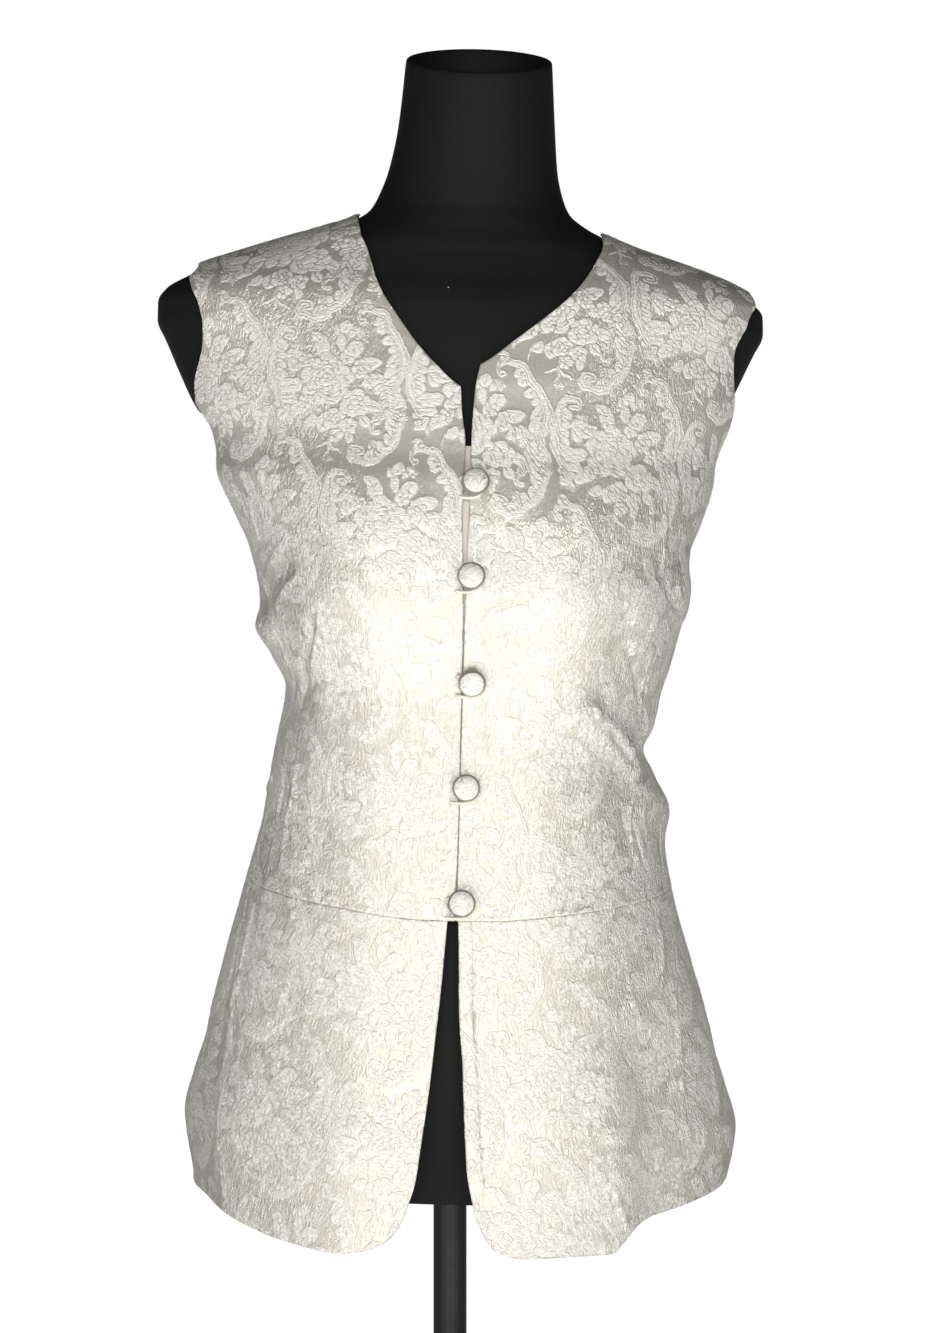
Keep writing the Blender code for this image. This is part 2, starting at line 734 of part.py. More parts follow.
def add_buttons(collection):
    """Five fabric-covered buttons on the left front's edge."""
    for number, (across, height) in enumerate(zip(BUTTONS["across"], BUTTONS["height"]), 1):
        profile = [(x * MILLIMETRE, 0.0, z * MILLIMETRE) for x, z in button_profile()]
        mesh = bpy.data.meshes.new(f"button_{number}")
        mesh.from_pydata(profile, [(n, n + 1) for n in range(len(profile) - 1)], [])
        button = add_object(f"button_{number}", mesh, SILK, collection)
        turn_round(button, BUTTON_SPOKES)
        angle = signed_angle(across, height)
        seat, tip = on_stand(cloth([angle, angle], [height, height], np.array([[-TRIM_GAP], [-10.0]])))
        lean = Vector(tip - seat).to_track_quat("Z", "Y").to_matrix().to_4x4()
        button.matrix_world = Matrix.Translation(seat) @ lean


def add_loops(collection):
    """Five cord loops that run from the right front's edge round the buttons' shanks."""
    stand_off = TRIM_GAP + CORD_RADIUS
    for number, (across, height) in enumerate(zip(BUTTONS["across"], BUTTONS["height"]), 1):
        route = bpy.data.curves.new(f"loop_{number}", "CURVE")
        route.dimensions = "3D"
        route.bevel_depth = CORD_RADIUS * MILLIMETRE
        route.bevel_resolution = 1
        route.use_fill_caps = True
        xs, zs = LOOP_ROUTE["across"] + across, LOOP_ROUTE["height"] + height
        angles = [signed_angle(x, z) for x, z in zip(xs, zs)]
        points = on_stand(cloth(angles, zs, -stand_off))
        line = route.splines.new("POLY")
        line.points.add(len(points) - 1)
        for point, place in zip(line.points, points):
            point.co = (*place, 1.0)
        add_object(f"loop_{number}", route, SILK, collection)


def form_ring(height, inset=0.0, slant_at=None):
    """One ring of the form's surface, drawn in by an inset, tilted toward the neck's slanted top."""
    even = np.linspace(0.0, 360.0, FORM_SPOKES, endpoint=False)
    angle = even + SPOKE_CROWDING * np.sin(2.0 * np.radians(even))
    names = ("right", "left", "front", "back", "square")
    section = {name: read(FORM, name, height) for name in names}
    for name in names[:4]:
        section[name] = section[name] - inset
    x, y = ring(section, angle)
    y = y - np.where(y < 0.0, bust(x, height, FORM_BUST), 0.0)
    level = height if slant_at is None else slant_at
    share = np.clip((level - SLANT_START) / (NECK_TOP - SLANT_START), 0.0, 1.0)
    z = level + y * math.tan(math.radians(NECK_SLANT)) * share
    return np.stack([x, y, z], axis=-1)


def add_torso(collection):
    """The dress form: a closed body with a hollow in the top of its neck."""
    rings = [form_ring(height) for height in FORM_RINGS]
    rings.append(form_ring(NECK_TOP, 0.0, NECK_TOP - RIM_ROUND))
    rings.append(form_ring(NECK_TOP, RIM_ROUND, NECK_TOP))
    rings.append(form_ring(NECK_TOP, RIM_WIDTH - RIM_ROUND, NECK_TOP))
    rings.append(form_ring(NECK_TOP, RIM_WIDTH, NECK_TOP - RIM_ROUND))
    rings.append(form_ring(NECK_TOP, RIM_WIDTH + RECESS_TAPER, NECK_TOP - RECESS_DEPTH))
    points = on_stand(np.concatenate(rings))
    number = np.arange(len(points)).reshape(len(rings), FORM_SPOKES)
    after = np.roll(number, -1, axis=1)
    faces = quads(number[:-1], after[:-1], after[1:], number[1:])
    caps = [number[0][::-1].tolist(), number[-1].tolist()]
    add_object("form_torso", mesh_from("form_torso", points, faces + caps, 2), BLACK_FORM, collection)


def add_turned(name, profile, look, collection, steps):
    """A round piece turned about the vertical axis from half its outline."""
    mesh = bpy.data.meshes.new(name)
    points = [(radius * MILLIMETRE, 0.0, height * MILLIMETRE) for radius, height in profile]
    mesh.from_pydata(points, [(n, n + 1) for n in range(len(points) - 1)], [])
    made = add_object(name, mesh, look, collection)
    turn_round(made, steps)
    return made


def add_stand(collection):
    """The flange under the form, the pole and the round base."""
    flange = [(0, -FLANGE_THICK), (FLANGE_RADIUS, -FLANGE_THICK), (FLANGE_RADIUS, 0), (0, 0)]
    disc = add_turned("form_flange", flange, BLACK_STEEL, collection, FLANGE_SPOKES)
    top = Vector((0.0, 0.0, (FORM_BOTTOM - JOINT_GAP) * MILLIMETRE))
    disc.matrix_world = Matrix.Translation(top) @ Matrix.Rotation(math.radians(LEAN), 4, "Y")
    pole_top = FORM_BOTTOM - JOINT_GAP - FLANGE_THICK - 2.0 * JOINT_GAP
    foot = BASE_THICK + JOINT_GAP
    pole = [(0, foot), (POLE_RADIUS, foot), (POLE_RADIUS, pole_top), (0, pole_top)]
    add_turned("pole", pole, BLACK_STEEL, collection, POLE_SPOKES)
    plate = [(0.0, 0.0), (BASE_RADIUS, 0.0)]
    for degrees in (0.0, 30.0, 60.0, 90.0):
        turn = math.radians(degrees)
        radius = BASE_RADIUS - BASE_ROUND * (1.0 - math.cos(turn))
        plate.append((radius, BASE_THICK - BASE_ROUND * (1.0 - math.sin(turn))))
    plate.append((0.0, BASE_THICK))
    add_turned("base_plate", plate, BLACK_STEEL, collection, BASE_SPOKES)


def build():
    """Clears the scene and makes every piece."""
    for old in list(bpy.data.objects):
        bpy.data.objects.remove(old, do_unlink=True)
    collection = bpy.data.collections.new("peplum_waistcoat")
    bpy.context.scene.collection.children.link(collection)
    add_bodice(collection)
    add_peplum(collection)
    add_underlap(collection)
    add_buttons(collection)
    add_loops(collection)
    add_torso(collection)
    add_stand(collection)


build()
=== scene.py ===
"""A peplum waistcoat in ivory silk jacquard, buttoned on a black dress form that stands on a steel pole.

Sizes are in millimetres and angles in degrees, as the garment's cutter has them. Heights start at the
form's flat bottom, with the form upright, its front toward -Y and the wearer's left toward +X. A place on
the cloth is an angle round the form, 0 at the centre front and 90 at the wearer's left, and a height.
"""

import math

import bpy
import numpy as np
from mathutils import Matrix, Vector


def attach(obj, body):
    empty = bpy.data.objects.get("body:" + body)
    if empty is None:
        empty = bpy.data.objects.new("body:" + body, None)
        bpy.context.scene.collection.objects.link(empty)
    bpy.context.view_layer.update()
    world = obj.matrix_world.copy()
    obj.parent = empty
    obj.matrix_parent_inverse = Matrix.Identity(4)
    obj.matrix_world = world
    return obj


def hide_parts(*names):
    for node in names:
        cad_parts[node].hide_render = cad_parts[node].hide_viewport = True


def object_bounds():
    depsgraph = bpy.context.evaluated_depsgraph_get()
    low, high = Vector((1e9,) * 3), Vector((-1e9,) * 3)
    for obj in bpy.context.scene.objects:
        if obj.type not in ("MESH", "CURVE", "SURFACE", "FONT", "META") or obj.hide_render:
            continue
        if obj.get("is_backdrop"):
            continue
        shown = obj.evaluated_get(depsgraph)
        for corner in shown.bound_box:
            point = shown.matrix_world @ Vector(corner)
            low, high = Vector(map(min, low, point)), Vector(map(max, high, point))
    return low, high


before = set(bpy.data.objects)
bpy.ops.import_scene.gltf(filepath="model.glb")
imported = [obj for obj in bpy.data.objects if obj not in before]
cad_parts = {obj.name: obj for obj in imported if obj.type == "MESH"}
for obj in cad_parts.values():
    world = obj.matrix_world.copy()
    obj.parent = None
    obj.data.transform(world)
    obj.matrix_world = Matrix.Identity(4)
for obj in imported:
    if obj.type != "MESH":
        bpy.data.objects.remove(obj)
CAD_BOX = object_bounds()

# Camera: level, a little above the waist, 2.2 m in front of the form
CAMERA_PLACE = (0.01363, -2.2, 0.565)
CAMERA_LENS = 89.35
SENSOR = 36.0
PHOTO_HEIGHT = 1333.0
HORIZON_ROW = 600.0

# Driving sizes
MILLIMETRE = 0.001
CLOTH_THICK = 1.6
SEAM_GAP = 0.08
LIFT = 2.8
LEAN = 1.5
FORM_BOTTOM = 180.0
FOLD_RADIUS = 130.0
# A crease has died away this many of its widths to each side
CREASE_REACH = 3.0
CREASE_STEPS = 3

# Bust
BUST_ACROSS = 88.0
BUST_HEIGHT = 395.0
FORM_BUST = (24.0, 42.0)
CLOTH_BUST = (8.0, 48.0)

# Neck of the form
NECK_TOP = 744.0
NECK_SLANT = 18.0
SLANT_START = 672.0
RIM_WIDTH = 4.0
RIM_ROUND = 1.5
RECESS_DEPTH = 60.0
RECESS_TAPER = 1.0

# Shoulder seams
SHOULDER_TIP = 180.0
SHOULDER_NECK = {"right": 77.0, "left": 84.0}
SHOULDER_SPAN = (585.0, 650.0)

# Side seams: where they start, cross the waist and end
UNDERARM_HEIGHT = 402.0
UNDERARM_ANGLE = 87.0
SIDE_WAIST_HEIGHT = 199.0
SIDE_HEM_HEIGHT = -5.0
FRONT_WAIST_HEIGHT = 181.0

# Closure
BUTTON_RADIUS = 8.75
SHANK_RADIUS = 2.6
SHANK_HEIGHT = 3.0
DOME_HEIGHT = 5.6
EDGE_HEIGHT = 1.2
UNDER_EDGE = 1.0
CORD_RADIUS = 1.25
TRIM_GAP = 0.6
UNDERLAP_THICK = 1.0
UNDERLAP_GAP = 1.3
UNDERLAP_REACH = (-13.0, 11.0)
UNDERLAP_SPAN = (483.5, 183.5)

# Turned edges and seams: their rounding, and the swell of the allowance folded back behind a seam
EDGE_ROUND = 0.8
SEAM_ROUND = 0.4
EDGE_STEPS = (0.1, 0.3, 0.6, 1.0)
SEAM_SWELL = 0.32
SEAM_SWELL_PLACE = 1.7
SEAM_SWELL_WIDTH = 1.0

# Small puckers beside them: they start a little way in, and come and go along the length
PUCKER_DEPTH = {"seam": 0.22, "edge": 0.077}
PUCKER_START = 1.2
PUCKER_REACH = 5.0
PUCKER_STEP = 3.6
PUCKER_GROUP = 23.0
PUCKER_CHANGE = 0.4
UNEVEN_COUNT = 400

# The stitched facing along the left front's neck, and the strip turned under on the left peplum's edge
FACING_WIDTH = 3.4
FACING_DEPTH = 0.3
STRIP_WIDTH = 9.5
STRIP_DEPTH = 0.7
STRIP_SWELL = 0.5
GROOVE = 0.55

# The woven figure: how far it stands up, and how its edge slopes down to the ground
RELIEF = 0.22
SLOPE_START = 0.4
SLOPE_WIDTH = 1.2

# How finely crushed the silk is, from 0 to 1: everywhere, below the chest, and at the sides, where it is
# less behind and above
CRUSH_LEAST = 0.06
CRUSH_LOW = 0.14
CRUSH_SIDE = 0.8
CRUSH_BEHIND = 0.5
CRUSH_ABOVE = 0.35
CHEST_HEIGHT = 470.0
CHEST_FADE = 60.0
SIDE_START = 26.0
SIDE_FADE = 26.0
BACK_START = 110.0
BACK_FADE = 30.0
CRUSH_BUTTON = 0.2

# How finely each piece is divided
PANEL_LENGTH = 400.0
PANEL_WIDTH = 180.0
NECK_ROWS = 10
EDGE_ROWS = 16
ARMHOLE_ROWS = 14
SHOULDER_COLUMNS = 8
FRONT_COLUMNS = 14
BACK_NECK_COLUMNS = 14
PEPLUM_ROWS = 12
PEPLUM_COLUMNS = 12
PEPLUM_BACK_COLUMNS = 30
UNDERLAP_ROWS = 241
UNDERLAP_COLUMNS = 17
LINE_STEPS = 240
HALF_STEP = 0.5
TOP_FADE = 4.0
SIDE_STEPS = 9
WAIST_STEPS = 15
FINE_LINE = 16
LINING_STEP = 6
SHARP_ANGLE = 50.0
FLATTEN_ROUNDS = 2500
FLATTEN_SHARE = 0.2


def table(columns, *rows):
    """A table whose columns are read by name."""
    return dict(zip(columns.split(), np.array(rows, float).T))


def rows_of(rows):
    """A table's rows, each read by name."""
    names = list(rows)
    return [dict(zip(names, values)) for values in zip(*rows.values())]


# Sections of the form: how far it reaches to each side of its axis, and how square the section is
FORM = table(
    "height right left front back square",
    (0, 150, 154, 96, 110, 2.3),
    (45, 158, 163, 101, 121, 2.3),
    (90, 156, 161, 102, 123, 2.3),
    (140, 146, 150, 99, 115, 2.3),
    (190, 134, 137, 94, 101, 2.3),
    (240, 121, 125, 88, 87, 2.3),
    (290, 111, 115, 83, 79, 2.3),
    (325, 111, 117, 84, 80, 2.3),
    (360, 117, 123, 91, 86, 2.3),
    (395, 125, 131, 102, 92, 2.4),
    (430, 136, 139, 104, 97, 2.5),
    (460, 149, 147, 101, 100, 2.5),
    (490, 164, 157, 95, 102, 2.4),
    (507, 181, 166, 91, 103, 2.4),
    (530, 193, 177, 87, 102, 2.4),
    (550, 202, 186, 83, 99, 2.4),
    (566, 209, 193, 79, 96, 2.4),
    (577.5, 209, 192.5, 76, 93, 2.4),
    (587, 203, 184.5, 72, 89, 2.4),
    (594.7, 190, 172, 68, 84, 2.4),
    (601.7, 177, 156, 65, 81, 2.4),
    (609.7, 154, 132, 62, 77, 2.4),
    (617.7, 130, 107, 60, 73, 2.4),
    (625.7, 105, 88, 57, 69, 2.3),
    (633.7, 82, 73, 55, 64, 2.2),
    (642, 70, 63, 53, 60, 2.1),
    (653, 64, 58, 52, 56, 2.0),
    (670, 58, 54, 51, 53, 2.0),
    (700, 52.5, 51.5, 50, 51, 2.0),
    (745, 48.5, 48.5, 49, 49, 2.0),
)

# How far the cloth stands out from the form
EASE = table(
    "height right left front back square",
    (-30, 17, 20, 36, 46, 0.0),
    (0, 20, 26, 31, 42, 0.0),
    (45, 19, 24, 20, 26, 0.0),
    (70, 14, 17, 14.5, 20, 0.0),
    (100, 8, 10, 10, 15, 0.0),
    (140, 8, 8.5, 8.5, 10.5, 0.1),
    (190, 7.5, 6, 10, 10, 0.2),
    (235, 8, 7.5, 14, 12, 0.2),
    (280, 12, 10, 18, 13, 0.3),
    (325, 6, 14, 21, 12, 0.3),
    (345, 12.5, 17, 23, 11, 0.3),
    (370, 13.5, 18, 21.5, 10.5, 0.4),
    (395, 12.5, 15, 17, 10, 0.4),
    (415, 12, 10, 13.5, 9, 0.4),
    (440, 16, 14, 10, 7.5, 0.3),
    (461, 18.5, 15.5, 8, 6.5, 0.2),
    (480, 13.5, 13, 6, 5.5, 0.2),
    (497, 10.5, 14, 6, 6, 0.2),
    (520, 7, 11, 5.5, 6, 0.15),
    (550, 4, 4.5, 4, 6, 0.1),
    (590, 3.8, 3.8, 3.5, 6, 0.15),
    (610, 2.2, 2.2, 2.4, 3.5, 0.1),
    (645, 1.5, 1.5, 2, 2, 0.0),
)

# The largest folds, each from one place to another: ridges stand out and troughs go in
FOLDS = table(
    "angle height to_angle to_height width depth",
    (-62, 361, -108, 366, 12, 7),
    (-50, 412, -76, 378, 13, -4),
    (-45, 392, -48, 300, 11, 3),
    (-48, 320, -55, 190, 12, 2.5),
    (46, 394, 48, 332, 8, -3.5),
    (36, 322, 66, 276, 10, 6),
    (58, 291, 106, 289, 10, -5.5),
    (58, 262, 106, 244, 16, 7.5),
    (72, 424, 76, 372, 13, 4),
    (40, 330, 50, 190, 13, 2),
    (43, 205, 44, 60, 15, 3),
    (43, 110, 43.5, -80, 16, 7),
    (55, 120, 54, -80, 17, -4),
    (78, 150, 76, -80, 22, 2.5),
    (-58, 190, -57, -80, 19, 3.5),
    (-72, 120, -73, -80, 18, -3),
    (-30, 60, -28, -80, 20, 2),
    (112, 180, 118, -90, 20, 5),
    (136, 140, 139, -90, 18, -4.5),
    (158, 190, 160, -90, 22, 6),
    (184, 130, 182, -90, 20, -4),
    (206, 180, 204, -90, 22, 5),
    (228, 150, 226, -90, 18, -4.5),
    (248, 190, 244, -90, 20, 5.5),
    (142, 430, 146, 215, 11, 2.5),
    (218, 430, 214, 215, 11, 2.5),
    (112, 268, 168, 254, 12, 4.5),
    (196, 262, 246, 276, 12, 4),
    (118, 318, 160, 304, 13, 3),
    (206, 312, 240, 322, 12, 2.5),
)

# The neck edge of each front, from the shoulder to the top of the slit: distance from the middle
NECKLINE = {
    "right": table(
        "across height",
        (77, 634), (75, 627), (71.5, 616), (63.5, 594), (54.5, 576),
        (44, 561), (33, 546.5), (21, 534), (11, 524.5), (6, 521),
    ),
    "left": table(
        "across height",
        (84, 625), (84, 619), (81, 610), (73, 595.5), (57, 576.5),
        (41, 563), (26, 551), (11, 539), (6, 536),
    ),
}

# The back neck edge between the two shoulder seams
BACK_NECK = table(
    "angle height",
    (105, 629), (130, 627), (150, 625), (180, 623),
    (210, 627), (230, 633), (253, 637.5),
)

# The armhole's edge from the shoulder tip down to the underarm: how far forward and back it lies
ARMHOLE = table(
    "share front back",
    (0.015, 24, 22), (0.03, 32, 29), (0.065, 42, 38), (0.114, 51, 45), (0.16, 55, 49), (0.214, 57, 52),
    (0.308, 55, 54), (0.413, 48, 54), (0.522, 41, 52), (0.622, 38, 49), (0.711, 37, 45), (0.8, 35, 40),
    (0.88, 30, 33), (0.945, 22, 24), (0.985, 12, 12),
)
ARMHOLE_DEPTH = {"right": 1.0, "left": 0.84}

# The side seam below the underarm, nearer the front as the hips spread
SIDE_SEAM = table(
    "height angle",
    (-40, 60.5),
    (0, 61),
    (50, 63),
    (100, 66),
    (150, 69.5),
    (200, 74),
    (330, 74.5),
    (360, 77),
    (385, 82.5),
    (402, 87),
)

# Centre front edge of each bodice front: distance from the middle
FRONT_EDGE = {
    "right": table(
        "height across",
        (521, 6), (506, 5), (483, 2.2), (448, 3), (400, 1.3), (350, 0.6), (246, 0.3), (180, 1),
    ),
    "left": table(
        "height across",
        (536, 6), (528, 4.2), (515, 2.6), (483, 1.4), (448, 1.4), (400, 0.4), (350, 0.1), (180, 0.1),
    ),
}

# Waist seam, the same on both sides
WAIST = table(
    "angle height",
    (0, 181.5), (14, 182), (26, 184), (37, 187), (47, 190), (57, 193),
    (72, 198), (90, 203), (120, 206), (150, 205), (180, 204),
)

# Front edge and rounded corner of each peplum front: distance from the middle
PEPLUM_EDGE = {
    "right": table(
        "height across",
        (181, 5.6), (147, 8), (111, 11), (79, 14), (46, 18), (19, 21.5), (1, 27), (-9, 31), (-15, 35.5),
    ),
    "left": table(
        "height across",
        (181, 1), (159, 2), (125, 3), (92, 6), (59, 8), (27, 10.5), (7, 14.5), (-7, 19), (-14, 23),
    ),
}
PEPLUM_CORNER = {
    "right": table("height across", (-20, 42), (-24.5, 53), (-26.5, 68)),
    "left": table("height across", (-19.5, 27), (-24, 34), (-26.5, 48)),
}

# Hem from the corner of the left front round the back to the corner of the right front
HEM = table(
    "angle height",
    (33, -26), (41, -24), (43.5, -19), (46.5, -12), (50, -7.5), (58, -2), (69, 4), (85, 11),
    (95, 12), (120, 4), (150, -6), (180, -12), (210, -10), (240, -3), (265, -1), (282, -4),
    (298, -10), (308, -17), (315, -22), (325, -26),
)

# Button centres on the left front's edge
BUTTONS = table("across height", (5, 459), (4, 400), (6, 334), (4, 266), (3, 193))

# A loop's route round its button, from the right front's edge and back to it
LOOP_ROUTE = table(
    "across height",
    (-10.5, 2.6), (-5, 3.6), (0, 4.3), (3, 3.6), (4.4, 1.5), (4.7, -1.5), (4.2, -5), (2.4, -8),
    (-1.5, -9.6), (-6, -9.8), (-10.5, -9.2),
)

# Smaller creases, each as its width and depth, then places (angle, height) along it. They lie round the
# right side, the left side, the peplum, the fronts and the back
CREASES = (
    ((2.2, -0.7), (-49, 413), (-57, 398), (-67, 384), (-71, 373)),
    ((2.6, 2.0), (-52, 421), (-61, 406), (-70, 392)),
    ((2.6, 1.8), (-47, 403), (-55, 389), (-63, 377)),
    ((1.8, 1.5), (-68, 401), (-71, 391), (-70, 382)),
    ((1.8, 1.7), (-70, 375), (-71, 367), (-68, 359), (-63, 355)),
    ((1.4, 1.3), (-64, 356), (-62, 349), (-62, 337), (-66, 324)),
    ((1.5, 1.0), (-62, 380), (-57, 368)),
    ((1.5, -0.8), (-52, 373), (-50, 351)),
    ((1.5, -0.7), (-59, 364), (-51, 347)),
    ((4.2, -2.2), (-44, 384), (-46, 363), (-51, 345), (-58, 321), (-61, 303)),
    ((2.0, 1.2), (-42, 381), (-45, 357), (-53, 324)),
    ((2.7, 2.0), (-62, 285), (-58, 272), (-57, 257), (-59, 239), (-58, 210)),
    ((2.3, -1.5), (-65, 286), (-63, 263), (-65, 238)),
    ((2.0, 1.5), (-71, 270), (-83, 255)),
    ((2.0, -0.8), (-68, 239), (-66, 207)),
    ((3.0, -0.8), (-53, 255), (-52, 215)),
    ((2.2, -1.8), (61, 414), (59, 402), (62, 390), (69, 380)),
    ((2.6, 2.2), (66, 413), (65, 398), (70, 386)),
    ((1.4, 1.0), (56, 451), (59, 396)),
    ((2.6, 1.9), (58, 380), (56, 365), (55, 354)),
    ((1.5, 1.4), (60, 360), (59, 342), (61, 322), (64, 308)),
    ((1.5, -1.0), (62, 359), (61, 340), (63, 321)),
    ((2.0, -1.1), (66, 378), (61, 364), (60, 355)),
    ((2.4, -1.7), (48, 389), (51, 356), (56, 338), (61, 322)),
    ((1.5, -0.8), (45, 394), (48, 373), (50, 351)),
    ((1.5, 1.3), (63, 320), (69, 303), (67, 284)),
    ((1.5, -1.1), (41, 321), (42, 312), (44, 303)),
    ((3.0, -2.2), (44, 304), (47, 305), (51, 297), (62, 278)),
    ((3.2, 1.7), (45, 300), (52, 287), (58, 273)),
    ((1.6, -1.2), (65, 271), (60, 255), (59, 245), (61, 230), (63, 216), (65, 204)),
    ((1.6, 1.3), (62, 271), (58, 255), (57, 244), (58, 229), (61, 215)),
    ((1.7, 1.3), (68, 268), (62, 250), (67, 231)),
    ((1.6, -0.7), (54, 260), (55, 242), (52, 230)),
    ((4.5, -0.9), (50, 275), (47, 240), (47, 214)),
    ((2.0, 1.5), (-68, 188), (-67, 162), (-67, 137), (-68, 112), (-67, 78), (-63, 48)),
    ((3.0, -1.7), (-73, 186), (-72, 158), (-72, 134), (-73, 108), (-72, 76)),
    ((1.7, 1.0), (-57, 197), (-52, 182), (-53, 162), (-50, 146), (-53, 119)),
    ((1.7, -0.9), (-60, 135), (-57, 116), (-52, 97), (-47, 82)),
    ((2.4, 0.9), (-71, 142), (-62, 102), (-63, 68)),
    ((1.7, -1.0), (-58, 46), (-56, 36), (-54, 23)),
    ((1.7, -0.8), (-49, 62), (-51, 45), (-50, 26)),
    ((1.8, 1.0), (-59, 42), (-67, 20)),
    ((1.5, 1.5), (67, 144), (66, 116), (65, 86), (63, 63), (63, 41)),
    ((2.2, -1.0), (68, 137), (67, 111), (66, 84), (65, 61)),
    ((1.7, 1.4), (76, 96), (75, 75), (72, 55)),
    ((2.2, -1.1), (71, 95), (68, 82), (65, 71)),
    ((2.2, -1.2), (41, 53), (41, 31), (39, 12), (37, -6)),
    ((1.5, -0.8), (37, 12), (36, 2), (37, -11)),
    ((2.0, 1.4), (41, 22), (43, 8), (45, -11)),
    ((1.5, -0.7), (57, 3), (54, -8)),
    ((1.6, -0.7), (54, 40), (56, 18), (60, 7)),
    ((1.7, 0.9), (51, 176), (53, 133), (55, 116)),
    ((1.7, 1.0), (66, 196), (65, 164), (61, 130)),
    ((1.5, 1.0), (-75, 484), (-70, 460), (-66, 436)),
    ((1.7, -0.7), (-71, 492), (-64, 467)),
    ((1.8, -0.6), (-65, 478), (-62, 451)),
    ((1.8, -0.6), (-57, 470), (-55, 431)),
    ((1.6, 0.9), (-63, 446), (-64, 415)),
    ((2.4, -0.9), (58, 470), (58, 433), (62, 414)),
    ((1.7, 1.0), (53, 465), (52, 426)),
    ((1.7, -0.6), (66, 488), (66, 440)),
    ((1.5, 0.8), (-58, 306), (-56, 260), (-54, 215)),
    ((1.3, -0.4), (-20, 359), (-13, 346), (-9, 328)),
    ((1.3, -0.4), (11, 190), (19, 192)),
    ((2.6, -1.2), (126, 300), (139, 283), (157, 279)),
    ((2.2, 1.2), (121, 286), (140, 270)),
    ((2.4, -1.1), (201, 282), (221, 284), (236, 300)),
    ((2.2, 1.2), (206, 268), (228, 274), (243, 288)),
    ((2.0, -0.8), (166, 266), (180, 262), (195, 265)),
    ((2.4, -0.9), (132, 420), (137, 372), (140, 335)),
    ((2.4, -0.8), (226, 424), (223, 368), (219, 332)),
    ((2.2, 1.0), (128, 240), (131, 218), (129, 203)),
    ((2.2, -0.8), (234, 236), (229, 216), (231, 201)),
    ((2.0, -0.9), (150, 168), (153, 120), (151, 80)),
    ((2.0, 1.0), (172, 150), (175, 96)),
    ((2.2, -0.9), (209, 172), (205, 118), (208, 70)),
    ((2.0, 1.0), (236, 150), (240, 92)),
    ((2.2, 1.3), (100, 300), (108, 268), (104, 240)),
    ((2.2, -1.0), (258, 306), (250, 272), (255, 238)),
)


def curve(x, y, at):
    """Values on a smooth curve through the points (x, y), x rising, that never overshoots them."""
    step = np.diff(x)
    slope = np.diff(y) / step
    tangent = np.zeros(len(y))
    same_way = slope[:-1] * slope[1:] > 0
    total = np.where(same_way, slope[:-1] + slope[1:], 1.0)
    tangent[1:-1] = np.where(same_way, 2.0 * slope[:-1] * slope[1:] / total, 0.0)
    tangent[0] = slope[0]
    tangent[-1] = slope[-1]
    row = np.clip(np.searchsorted(x, at) - 1, 0, len(step) - 1)
    t = np.clip((at - x[row]) / step[row], 0.0, 1.0)
    start = (1.0 + 2.0 * t) * (1.0 - t) ** 2 * y[row] + t * (1.0 - t) ** 2 * step[row] * tangent[row]
    end = t**2 * (3.0 - 2.0 * t) * y[row + 1] + t**2 * (t - 1.0) * step[row] * tangent[row + 1]
    return start + end


def read(rows, name, at, key="height"):
    """One column of a table at these heights or angles."""
    order = np.argsort(rows[key])
    return curve(rows[key][order], rows[name][order], np.asarray(at, float))


def crease(width, depth, *places):
    """A crease this wide and deep through places (angle, height); a negative depth is a trough."""
    points = np.array(places, float)
    run = np.linspace(0.0, 1.0, len(points))
    fine = np.linspace(0.0, 1.0, CREASE_STEPS * (len(points) - 1) + 1)
    angle, height = (curve(run, points[:, column], fine) for column in (0, 1))
    reach = CREASE_REACH * width
    return {
        "width": width, "depth": depth, "angle": angle, "height": height,
        "middle": 0.5 * (angle.min() + angle.max()),
        "half": 0.5 * (angle.max() - angle.min()) + math.degrees(reach / FOLD_RADIUS),
        "low": height.min() - reach, "high": height.max() + reach,
    }


CREASE_LINES = [crease(*size, *places) for size, *places in CREASES]


def sections(height):
    """The cloth's section at each height."""
    names = ("right", "left", "front", "back", "square")
    return {name: read(FORM, name, height - LIFT) + read(EASE, name, height) for name in names}


def ring(section, angle):
    """Points (x, y) on an oval section whose four reaches differ."""
    turn = np.radians(angle)
    across, ahead = np.sin(turn), np.cos(turn)
    wide = np.where(across > 0.0, section["left"], section["right"])
    deep = np.where(ahead > 0.0, section["front"], section["back"])
    power = section["square"]
    radius = ((np.abs(across) / wide) ** power + (np.abs(ahead) / deep) ** power) ** (-1.0 / power)
    return radius * across, -radius * ahead


def bust(x, height, size):
    """How far the bust pushes forward."""
    rise, spread = size
    off = (np.abs(x) - BUST_ACROSS) ** 2 + (height - BUST_HEIGHT) ** 2
    return rise * np.exp(-off / (2.0 * spread**2))


def half_turn(degrees):
    """An angle between -180 and 180."""
    return (degrees + 180.0) % 360.0 - 180.0


def beside(x, y, to_x, to_y):
    """How far along the line from (0, 0) to (to_x, to_y) a place lies, and its distance from it squared."""
    share = np.clip((x * to_x + y * to_y) / (to_x**2 + to_y**2), 0.0, 1.0)
    return share, (x - share * to_x) ** 2 + (y - share * to_y) ** 2


def ridge(size, share, off):
    """The height of a fold at this share of its length and this squared distance from its middle line."""
    return size["depth"] * (1.0 - (2.0 * share - 1.0) ** 4) * np.exp(-off / size["width"] ** 2)


